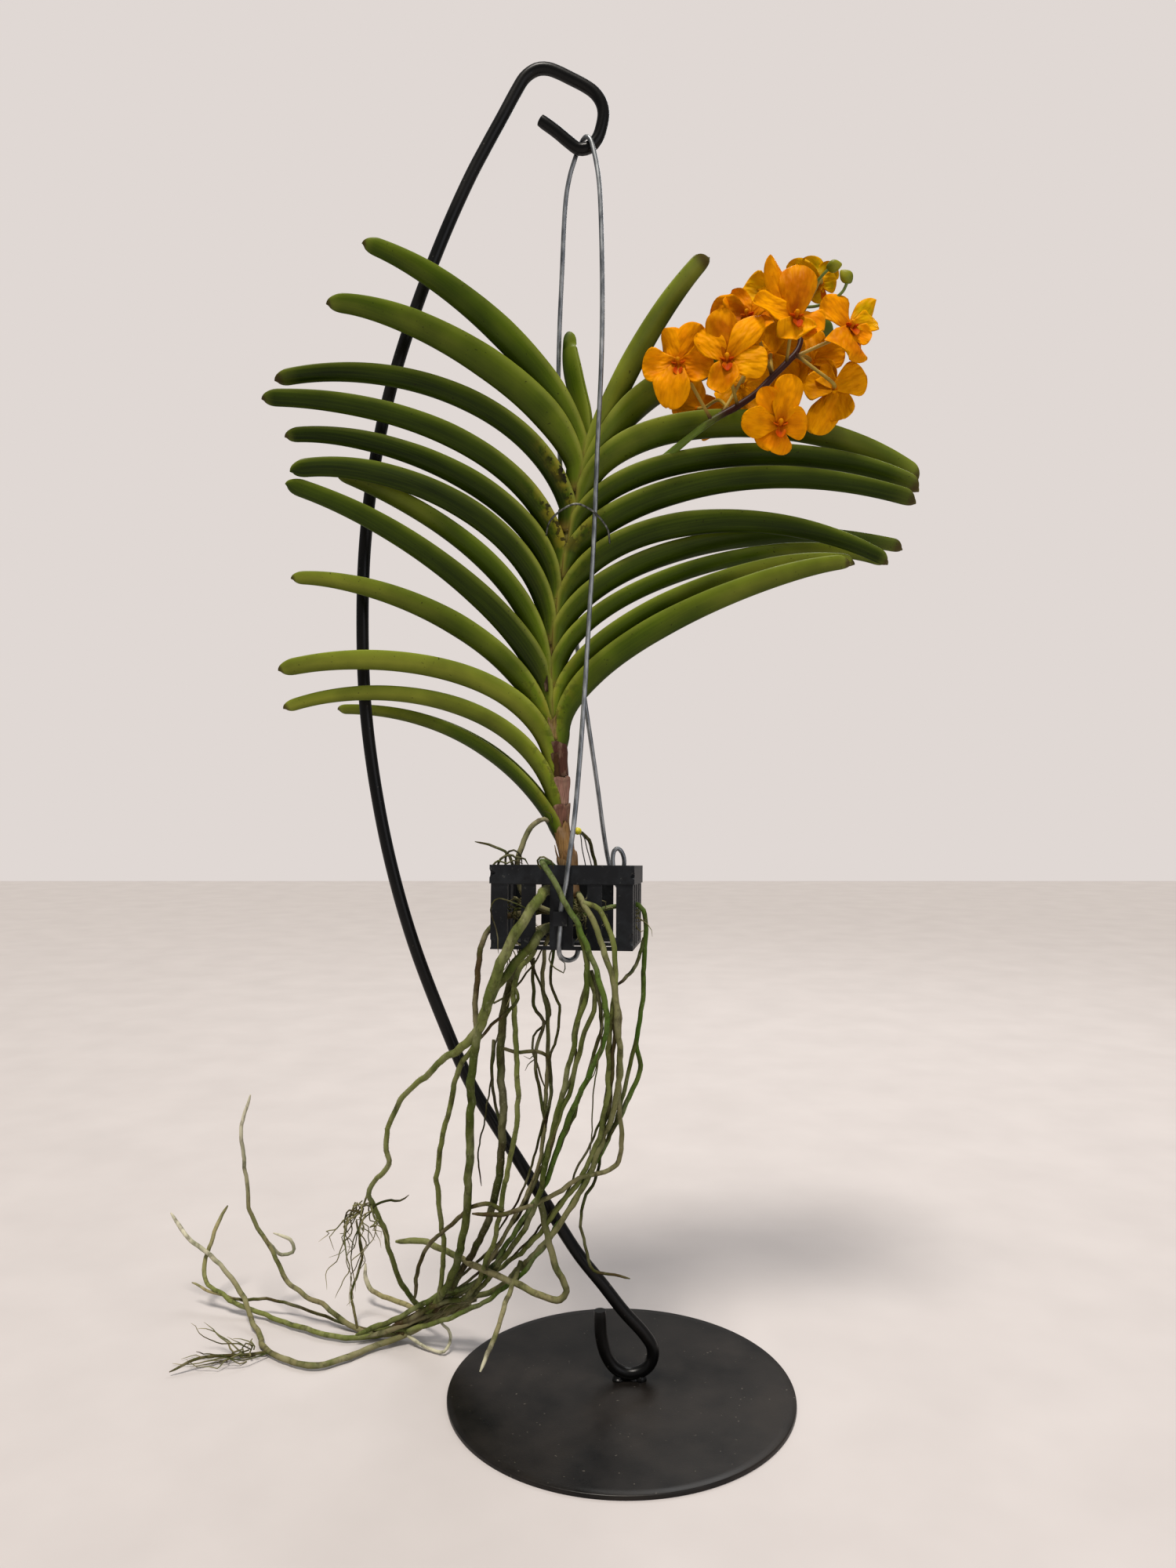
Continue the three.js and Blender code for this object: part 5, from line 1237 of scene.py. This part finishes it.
# The crown and each root: radii along it, its route, its colour, and the colour of its last stretch.
ROOTS = {
    "crown": ((5.5, 6.5, 4.5), [(-32.5, 10, 328), (-32, 9, 322), (-31, 8, 314)], BROWN, BROWN),
    "arch": ((1.9, 1.9, 1.8), [
        (-30, 8, 318), (-50, 4, 322), (-67, 0, 336), (-69, -1, 354), (-66.5, 0, 363), (-63, 2, 371),
        (-57.5, 4, 378.5), (-51.5, 6, 382), (-46, 9, 379.5)], ARCH_TAN, ARCH_TAN),
    "thick_left": ((3.3, 3.3, 3.4, 3.3, 2.1, 1.8, 1.7, 1.8, 1.9, 1.8), [
        (-31, 6, 320), (-42, -14, 334), (-50.5, -28, 337), (-52, -40, 334), (-60, -45, 325),
        (-71, -44, 305), (-83, -39, 276), (-95, -26, 244), (-120, -10, 222), (-144, 7, 197),
        (-158, 16, 174), (-159.5, 19, 158), (-158.5, 21, 145), (-162, 24, 139), (-170, 28, 131),
        (-174, 30, 121), (-171, 33, 111), (-166, 38, 96), (-161, 49, 69), (-152, 62, 38),
        (-131, 70, 13)], GREY_GREEN, OLIVE),
    "thick_green": ((2.8, 2.8, 2.8, 2.7, 1.6), [
        (-30, 6, 318), (-44, -14, 313), (-51, -32, 311), (-55, -40, 306), (-70, -38, 290), (-88, -31, 262),
        (-96, -25, 229), (-99, -14, 190), (-101, -4, 145), (-106, 11, 103), (-118, 36, 60), (-144, 66, 18),
        (-162, 70, 10), (-180, 74, 6)], OLIVE, GREY_GREEN),
    "left_loop": ((1.8, 1.7), [
        (-95, -26, 238), (-107, -13, 218), (-114, -6, 190), (-123, 5, 153), (-124, 15, 126), (-122, 31, 84),
        (-128, 50, 38)], GREY_GREEN, GREY_GREEN),
    "hairy_left": ((2, 1.8), [
        (-32, 8, 318), (-66, 4, 320), (-80, 2.5, 316), (-90, -3, 306), (-93, -14, 291), (-95, -22, 267),
        (-95, -24, 238)], BROWN, GREY_TAN),
    "brown_thick": ((2.4, 2.6, 2.6, 2.4, 1.4), [
        (-31, 6, 317), (-56, -4, 308), (-63, -8, 298), (-74, -12, 272), (-79, -14, 236), (-78, -14, 185),
        (-81, -6, 146), (-90, 13, 108), (-110, 38, 65), (-132, 60, 26), (-150, 66, 15),
        (-168, 70, 8)], DARK_BROWN, BROWN),
    "grey_green": ((1.8, 1.7), [
        (-30, 5, 317), (-52, -8, 307), (-56, -12, 296), (-68, -18, 282), (-70, -22, 259), (-68, -24, 218),
        (-69, -20, 181), (-76, -10, 148), (-87, 11, 93), (-107, 40, 46), (-128, 50, 36), (-148, 60, 22),
        (-166, 64, 12)], GREY_GREEN, BROWN),
    "mid_thin": ((1.4, 1.4), [
        (-30, 6, 316), (-48, -4, 305), (-52, -6, 281), (-49, -7, 255), (-49, -10, 215), (-53, -10, 162),
        (-63, -3, 132), (-81, 11, 97), (-105, 42, 50), (-130, 56, 34), (-152, 68, 18),
        (-176, 76, 8)], GREY_TAN, BROWN),
    "cross_twig": ((1.1, 1.1), [
        (-72, -17, 277), (-67, -26, 267), (-84, -28, 250), (-95, -26, 238)], BROWN, BROWN),
    "inner_twig": ((1.2, 1.1), [
        (-58, -12, 292), (-57, -15, 261), (-51, -16, 251), (-57, -16, 227), (-53, -14, 203),
        (-51, -11, 180), (-53, -10, 162)], DARK_BROWN, BROWN),
    "level_twig": ((1.2, 1.2), [
        (-79, -14, 233), (-66, -20, 232), (-49, -13, 229), (-46, -13, 208),
        (-50, -12, 180)], BROWN, DARK_BROWN),
    "over_rim": ((1.9, 1.8, 1.8, 2), [
        (-30, 5, 320), (-36, -6, 338), (-42, -18, 350), (-47.5, -29, 355.5), (-51, -36, 357),
        (-49.5, -41, 354), (-44.5, -43.5, 346), (-38.5, -44, 335.5), (-27, -45, 314), (-16, -46, 286),
        (-10, -45, 253), (-19, -39, 227), (-35, -26, 189), (-49, -12, 147), (-70, 4, 107), (-99, 38, 57),
        (-124, 50, 44), (-146, 60, 28), (-170, 66, 14), (-190, 62, 8)], DARK_GREEN, GREY_GREEN),
    "pale_right": ((1.9, 2), [
        (-27, 6, 322), (-28, -18, 334), (-27.3, -32, 334), (-26, -40, 331), (-19, -45, 321),
        (-13, -46, 303), (-6, -46, 283), (-3, -41, 252), (-3, -24, 203), (-12, -15, 175), (-28, -8, 135),
        (-41, -4, 114), (-56, 8, 92), (-70, 26, 71), (-89, 48, 47), (-116, 56, 34), (-142, 64, 20),
        (-160, 72, 10)], PALE_OLIVE, OLIVE),
    "pale_branch": ((1.7, 1.7), [
        (-25, -41, 331), (-15, -42, 327), (-6, -46, 303), (-5, -44, 280), (-8, -36, 247), (-9, -26, 209),
        (-16, -14, 172), (-30, -7, 141), (-49, 0, 113), (-59, 8, 98), (-77, 32, 74), (-100, 42, 56),
        (-124, 52, 40), (-146, 62, 24)], GREY_GREEN, OLIVE),
    "through_slot": ((1.8, 1.8), [
        (-28, 4, 318), (-28.5, -18, 318), (-28.3, -33, 316), (-27, -41, 311), (-22, -43, 285),
        (-29, -40, 250), (-35, -35, 221), (-43, -27, 189), (-49, -18, 160), (-59, -5, 121), (-81, 17, 81),
        (-112, 54, 35), (-136, 60, 24), (-158, 62, 14), (-182, 58, 8)], OLIVE, GREY_TAN),
    "side_step": ((1.6, 1.6), [
        (-23, -42, 292), (-18, -36, 268), (-26, -32, 240), (-35, -27, 206), (-44, -23, 179),
        (-49, -18, 158)], GREY_GREEN, BROWN),
    "outer_right": ((1.6, 1.6, 1.6, 1.8), [
        (-26, 6, 318), (-4, 0, 324), (8, -6.5, 327), (14, -8, 322), (15, -7, 302), (14, -6, 263),
        (10, -6, 237), (13, -7, 221), (2, -9, 193), (-14, -9, 162), (-27, -7, 139), (-48, 3, 101),
        (-70, 17, 69), (-105, 37, 38), (-146, 60, 14), (-172, 72, 4)], DARK_GREEN, GREY_GREEN),
    "outer_fork": ((1.4, 1.3), [
        (10, -6, 237), (7, -9, 225), (4, -11, 212), (-2, -14, 188), (-10, -13, 171)], OLIVE, BROWN),
    "dark_hook": ((1.2, 1.2), [
        (15, -7, 304), (10, -18, 290), (4, -32, 283), (-4, -43, 279)], DARK_BROWN, DARK_BROWN),
    "elbow": ((1.6, 1.6), [
        (-5, -44, 283), (-2, -34, 253), (-2, -22, 200), (-3, -13, 157), (-25, -11, 147), (-45, -9, 135),
        (-64, -5, 126), (-80, -5, 120), (-99, -5, 121)], GREY_TAN, BROWN),
    "brown_inner": ((1.4, 1.4), [
        (-5, -43, 270), (-6, -30, 226), (-10, -16, 188), (-19, -10, 156), (-28, -6, 133)], BROWN, BROWN),
    "curling_tip": ((1.1, 1), [
        (-13, -10, 165), (-18, -6, 143), (-26, -3, 122), (-23, 0, 93), (-18, 0, 82), (-4, -1, 79),
        (6, -3, 77)], DARK_BROWN, BROWN),
    "low_loop": ((2.3, 2.2), [
        (-54, 0, 128), (-50, 0, 108), (-44, 1, 86), (-37, 3, 66), (-41, 4, 59), (-54, 5, 62), (-81, 16, 70),
        (-110, 35, 74), (-140, 54, 78), (-160, 56, 78)], GREY_TAN, GREY_GREEN),
    "tip_on_plate": ((1.8, 1.6), [
        (-68, 22, 78), (-73, 10, 66), (-79, -5, 55), (-84, -22, 44), (-91, -32, 30)], GREY_TAN, WHITE),
    "arched_brown": ((1.5, 1.4), [
        (-78, -4, 122), (-88, -2, 127), (-99, 4, 122), (-116, 18, 105), (-132, 28, 88), (-141, 40, 67),
        (-147, 60, 34)], BROWN, BROWN),
    "floor_upright": ((2.1, 1.9, 1.6, 1.4), [
        (-107, 60, 32), (-143, 66, 13), (-171, 72, 3.6), (-196, 83, 4), (-221, 91, 17), (-246, 99, 27),
        (-265, 112, 51), (-283, 122, 72), (-290, 129, 106), (-293, 130, 136),
        (-286, 130, 163)], GREY_TAN, WHITE),
    "floor_far": ((1.9, 1.8, 1.5), [
        (-131, 68, 20), (-166, 74, 4), (-198, 68, 3.5), (-227, 78, 4), (-261, 98, 4), (-293, 111, 10),
        (-322, 127, 24), (-321, 134, 38), (-315, 145, 60), (-310, 150, 69)], GREY_GREEN, PALE),
    "floor_near": ((2.1, 2.1, 1.9, 1.6), [
        (-118, 58, 32), (-153, 64, 8), (-178, 52, 3.5), (-192, 38, 3.5), (-212, 28, 3.5), (-247, 46, 3.5),
        (-268, 82, 4), (-291, 112, 22), (-315, 127, 38), (-336, 134, 49),
        (-352, 140, 67)], GREY_TAN, WHITE),
    "floor_thin": ((1.2, 1.1), [
        (-155, 62, 9), (-194, 84, 3), (-230, 102, 6), (-264, 110, 12), (-296, 113, 12),
        (-331, 128, 17)], BROWN, PALE),
    "white_curl": ((1.4, 1.3), [
        (-268, 114, 54), (-259, 124, 40), (-251, 124, 42), (-253, 123, 53), (-266, 122, 58)], WHITE, WHITE),
    "white_tip": ((1.5, 2.0, 1.9, 1.6), [
        (-133, 70, 18), (-160, 105, 10), (-193, 125, 15), (-196, 130, 31)], PALE, WHITE),
    "dead_tuft": ((1, 1), [(-192, 80, 4), (-200, 97, 22), (-192, 96, 52), (-195, 90, 81)], BROWN, BROWN),
    "dead_tail": ((1.1, 1), [(-248, 47, 3.5), (-266, 44, 2.5), (-291, 29, 8), (-309, 20, 3)], BROWN, BROWN),
    "white_loop": ((1.2, 1.1), [
        (-153, 64, 7), (-138, 54, 3), (-124, 48, 3), (-121, 56, 9), (-131, 64, 20)], WHITE, WHITE),
}
# Fine dead roots, thinner than a knitting needle: radius, route.
FINE_ROOTS = [
    (1.1, [(-72, -3, 352), (-74.5, -3, 358), (-78, -2, 361.5), (-84, -2, 364), (-91, -1, 366.5),
           (-97.5, 0, 367.5)]),
    (0.9, [(-82, -4, 351), (-80, -6, 356.5), (-74.5, -7, 359), (-70, -5, 356.5), (-71, -3, 351)]),
    (0.8, [(-77, -1, 351), (-76.5, -3, 359.5), (-71.5, -5, 362), (-67, -3, 358.5), (-66, -1, 352)]),
    (0.7, [(-85, -5, 352), (-81, -7, 355), (-76, -8, 353.5), (-71, -7, 356), (-65, -6, 353)]),
    (0.7, [(-70, -5, 357.5), (-64, -7, 356), (-61.5, -8, 352.5), (-66, -8, 351.5)]),
    (0.7, [(-52, -34, 352), (-54.5, -37, 357), (-50, -40, 360), (-45.5, -39, 357.5), (-44, -38, 352)]),
    (0.5, [(-45, -29, 300), (-47, -31, 294), (-43, -33, 288), (-38, -32, 285), (-37, -30, 291),
           (-41, -30, 294)]),
    (0.5, [(-60, -34, 326), (-78, -36, 333), (-82.5, -36, 329), (-81, -35, 314), (-79, -35, 298)]),
    (0.5, [(-12, -45, 262), (-15, -46.5, 236), (-19, -47, 203), (-21, -46, 172)]),
    (0.4, [(-15, -46.5, 236), (-19, -46, 224), (-25, -44, 214)]),
    (0.45, [(-57, -16, 229), (-60, -18, 227), (-64, -19, 229)]),
    (0.45, [(-57, -16, 226), (-61, -18, 223), (-63, -18, 219)]),
    (0.5, [(-171, 33, 110), (-180, 30, 100), (-186, 27, 82), (-183, 24, 64)]),
    (0.5, [(-248, 46, 3.2), (-262, 30, 6), (-280, 26, 12), (-296, 36, 9)]),
    (0.45, [(-46, 4, 380), (-47, 2, 386), (-52, 1, 388)]),
    (0.5, [(-70, -22, 262), (-75, -25, 255), (-76, -27, 245)]),
    (0.9, [(-60, -12, 300), (-58, -14, 287), (-52, -16, 272), (-47, -15, 258), (-51, -13, 250),
           (-58, -14, 240), (-56, -14, 222), (-50, -13, 206)]),
    (0.8, [(-84, -12, 262), (-74, -15, 268), (-64, -18, 280), (-56, -20, 292), (-50, -18, 302)]),
    (1.1, [(-84, -12, 238), (-85, -12, 212), (-82, -10, 190), (-79, -6, 166), (-82, -2, 146),
           (-84, 4, 128)]),
    (0.7, [(-66, -10, 300), (-71, -10, 282), (-77, -10, 262), (-82, -10, 240), (-86, -8, 214),
           (-90, -4, 186), (-96, 4, 158), (-94, 10, 134)]),
    (1.0, [(-44, -20, 300), (-46, -22, 280), (-41, -22, 262), (-42, -20, 244), (-47, -18, 226),
           (-46, -16, 206), (-52, -12, 182), (-58, -8, 160), (-66, 0, 134), (-84, 16, 100)]),
    (1.2, [(-22, -40, 300), (-24, -38, 276), (-31, -34, 250), (-30, -30, 228), (-38, -26, 204),
           (-47, -20, 176), (-54, -12, 150), (-66, 2, 122), (-84, 22, 90), (-112, 44, 58), (-140, 58, 32)]),
    (1.3, [(-20, -40, 288), (-14, -38, 262), (-16, -34, 240), (-24, -28, 214), (-33, -20, 188),
           (-41, -14, 166), (-52, -6, 138), (-66, 8, 110), (-88, 30, 76), (-120, 50, 44), (-152, 62, 20)]),
    (0.9, [(-10, -36, 256), (-8, -28, 226), (-12, -20, 196), (-20, -12, 170), (-30, -6, 150),
           (-36, -2, 134), (-52, 6, 110), (-76, 24, 78)]),
    (1.35, [(-31, 18, 374), (-26.5, 21, 372.5), (-22, 22, 367.5), (-18.5, 24, 360), (-16, 25, 350),
           (-16, 25, 334)]),
    (0.95, [(-172, 31, 112), (-166, 29, 116), (-158.5, 28, 118), (-152, 28, 117.5), (-146, 28, 121.5)]),
    (0.8, [(-171, 32, 111), (-176, 30, 114), (-180, 29, 112), (-182, 29, 115)]),
]


def root_route(points, phase):
    """A route that wavers and kinks a little between its two ends."""
    line = through(points, ROOT_STEP)
    last = len(line) - 1
    for i in range(1, last):
        waver = noise.noise_vector(line[i] * 0.06 + Vector((phase, 0, 0)))
        kink = noise.noise_vector(line[i] * 0.14 + Vector((phase, 30, 0)))
        shift = (waver * 1.5 + kink) * ROOT_WANDER * min(1, i / 3, (last - i) / 3)
        if line[i].z < LOW_ON_FLOOR:
            shift.z = 0
        line[i] = line[i] + shift
    return line


def root_skin(lines, radii, route, colour, tip_colour, phase):
    """One root: lumpy, pale or brown by turns, thinned and blunt at its end, and above the floor."""
    lowest = max(radii) * 1.15
    line = [Vector((point.x, point.y, max(point.z, lowest))) for point in root_route(route, phase)]

    def thick(share):
        lumps = 1 + 0.1 * noise.noise(Vector((share * len(line) * 0.35, phase, 0)))
        blunt = 0.35 if share == 1 else 1 - 0.3 * rise(1 - 4 / len(line), 1, share)
        return along_table(radii, share) * lumps * blunt

    def hue(share):
        wavering = 0.5 + 0.9 * noise.noise(Vector((share * len(line) * 0.12, phase, 5)))
        shade = between(colour, GREY_GREEN, 0.35 * wavering)
        return between(shade, tip_colour, rise(0.7, 0.97, share))
    lines.line(line, thick, hue)


def some_roots(name, wanted, sides):
    """The wanted roots as one skin."""
    lines = Lines()
    for number, (key, row) in enumerate(ROOTS.items()):
        if key in wanted:
            root_skin(lines, *row, number * ROOT_PHASE)
    return lines.finish(name, ROOT, sides)


# Tangles of dead rootlets: where they start, the way they trail, how far they spread, how many.
TANGLES = [
    ((-178, 31, 112), (-9, 4, -62), 15, 20),
    ((-262, 42, 4), (-44, -8, 1), 11, 12),
    ((-104, 52, 40), (-46, 14, -24), 6, 12),
    ((-69, -10, 304), (-6, -2, -30), 9, 8),
    ((-70, -18, 326), (14, 4, -20), 11, 12),
    ((-30, -12, 322), (22, 4, -18), 12, 12),
    ((2, -2, 318), (12, -6, -6), 9, 10),
]


def tangles(lines):
    """Dead rootlets that trail from one place and kink as they go."""
    seeded = random.Random(21)
    for start, trail, spread, count in TANGLES:
        for _ in range(count):
            point = Vector(start) + Vector([seeded.uniform(-0.5, 0.5) * spread for _ in range(3)])
            reach = seeded.uniform(0.2, 1.1)
            drift = Vector([seeded.uniform(-0.12, 0.12) * spread for _ in range(3)])
            route = [point]
            for _ in range(6):
                kink = Vector([seeded.uniform(-0.4, 0.4) * spread for _ in range(3)])
                point = point + Vector(trail) * (reach / 6) + drift + kink
                route.append(Vector((point.x, point.y, max(point.z, 1.5))))
            shade = seeded.choice((GREY_TAN, GREY_TAN, BROWN))
            root_skin(lines, (seeded.uniform(0.4, 0.8), 0.25), route, shade, PALE, point.x)


def fine_roots():
    """The fine dead roots and the tangles, as one skin."""
    lines = Lines()
    for number, (radius, route) in enumerate(FINE_ROOTS):
        root_skin(lines, (radius, radius * 0.8), route, DARK_BROWN, BROWN, number * FINE_ROOT_PHASE)
    tangles(lines)
    return lines.finish("dead_rootlets", ROOT, 6)


def root_hairs(name, wanted, per_square_cm, length):
    """Fine hairs over some of the roots."""
    bare = some_roots(name + "_skin", wanted, 8)
    made = grown(name, bare.data.copy(), HAIRS, {
        "Per square metre": per_square_cm * 1e4, "Length": length * MM, "Seed": 11, "Material": FUZZ})
    bpy.data.objects.remove(bare)
    return made


stands_for(some_roots("trailing_roots", ROOTS, 10), "aerial_root", "aerial_roots")
stands_for(fine_roots(), "aerial_root")
stands_for(root_hairs("hairs_thick", ("brown_thick", "hairy_left", "thick_left"), 50, 0.6), "aerial_root")
stands_for(root_hairs("hairs_fine", ("grey_green", "mid_thin", "left_loop"), 14, 0.7), "aerial_root")


# ---------------------------------------------------------------- camera, floor and light
FLOOR_SIZE = 8          # these are in metres
CAMERA_PLACE = (-0.022, -0.759, 0.406)
CAMERA_LENS = 26.1      # mm, on a sensor 36 mm wide
LIT_PLACE = Vector((0, 0, 0.5))
# Lamps: name, place, size, power, colour and kind. An area lamp is a round soft box that size
# in metres across, and a sun is a far lamp that looks that many degrees wide.
LAMPS = [
    ("key", (-0.2, -0.6, 2.1), 16, 3.0, "FFF8EE", "SUN"),
    ("fill", (1.2, -1.4, 0.9), 1.4, 6, "F6F6FF", "AREA"),
    ("back", (0.4, 1.2, 1.7), 1.0, 10, "FFFFFF", "AREA"),
]


def stage():
    """A plain pale floor under the stand."""
    bpy.ops.mesh.primitive_plane_add(size=FLOOR_SIZE, location=(0, 0, 0))
    floor = bpy.context.object
    floor.name = "floor"
    look = Look("pale painted board", "C3BDBC", Roughness=0.8)
    look.stain("C9C3C2", look.place, 90, 0.3, 0.7, detail=3)
    floor.data.materials.append(look.done())


def lamp(name, place, size, power, colour, kind):
    """A lamp that looks at the middle of the plant."""
    data = bpy.data.lights.new(name, kind)
    if kind == "SUN":
        data.angle = math.radians(size)
    else:
        data.shape = "DISK"
        data.size = size
    data.energy = power
    data.color = tint(colour)[:3]
    made = in_scene(name, data)
    made.location = place
    made.rotation_euler = (LIT_PLACE - Vector(place)).to_track_quat("-Z", "Y").to_euler()


def camera():
    """A level camera in front of the plant."""
    data = bpy.data.cameras.new("camera")
    data.lens = CAMERA_LENS
    data.sensor_width = 36
    data.sensor_fit = "AUTO"
    data.clip_start = 0.02
    made = in_scene("camera", data)
    made.location = CAMERA_PLACE
    made.rotation_euler = (math.radians(90), 0, 0)
    bpy.context.scene.camera = made


def sky():
    """A pale even wall behind everything, which gives the object only a soft share of its light."""
    world = bpy.data.worlds.new("studio")
    world.use_nodes = True
    tree = world.node_tree
    glow = tree.nodes["Background"]
    glow.inputs["Color"].default_value = tint("F2F0EE")
    glow.inputs["Strength"].default_value = 0.32
    wall = add(tree, "ShaderNodeBackground", {"Color": tint("E0D8D4"), "Strength": 1.0})
    seen = add(tree, "ShaderNodeLightPath").outputs["Is Camera Ray"]
    both = add(tree, "ShaderNodeMixShader", {0: seen, 1: glow.outputs[0], 2: wall.outputs[0]})
    tree.links.new(both.outputs[0], tree.nodes["World Output"].inputs["Surface"])
    bpy.context.scene.world = world
    bpy.context.scene.view_settings.view_transform = "Standard"


stage()
for lamp_row in LAMPS:
    lamp(*lamp_row)
camera()
sky()
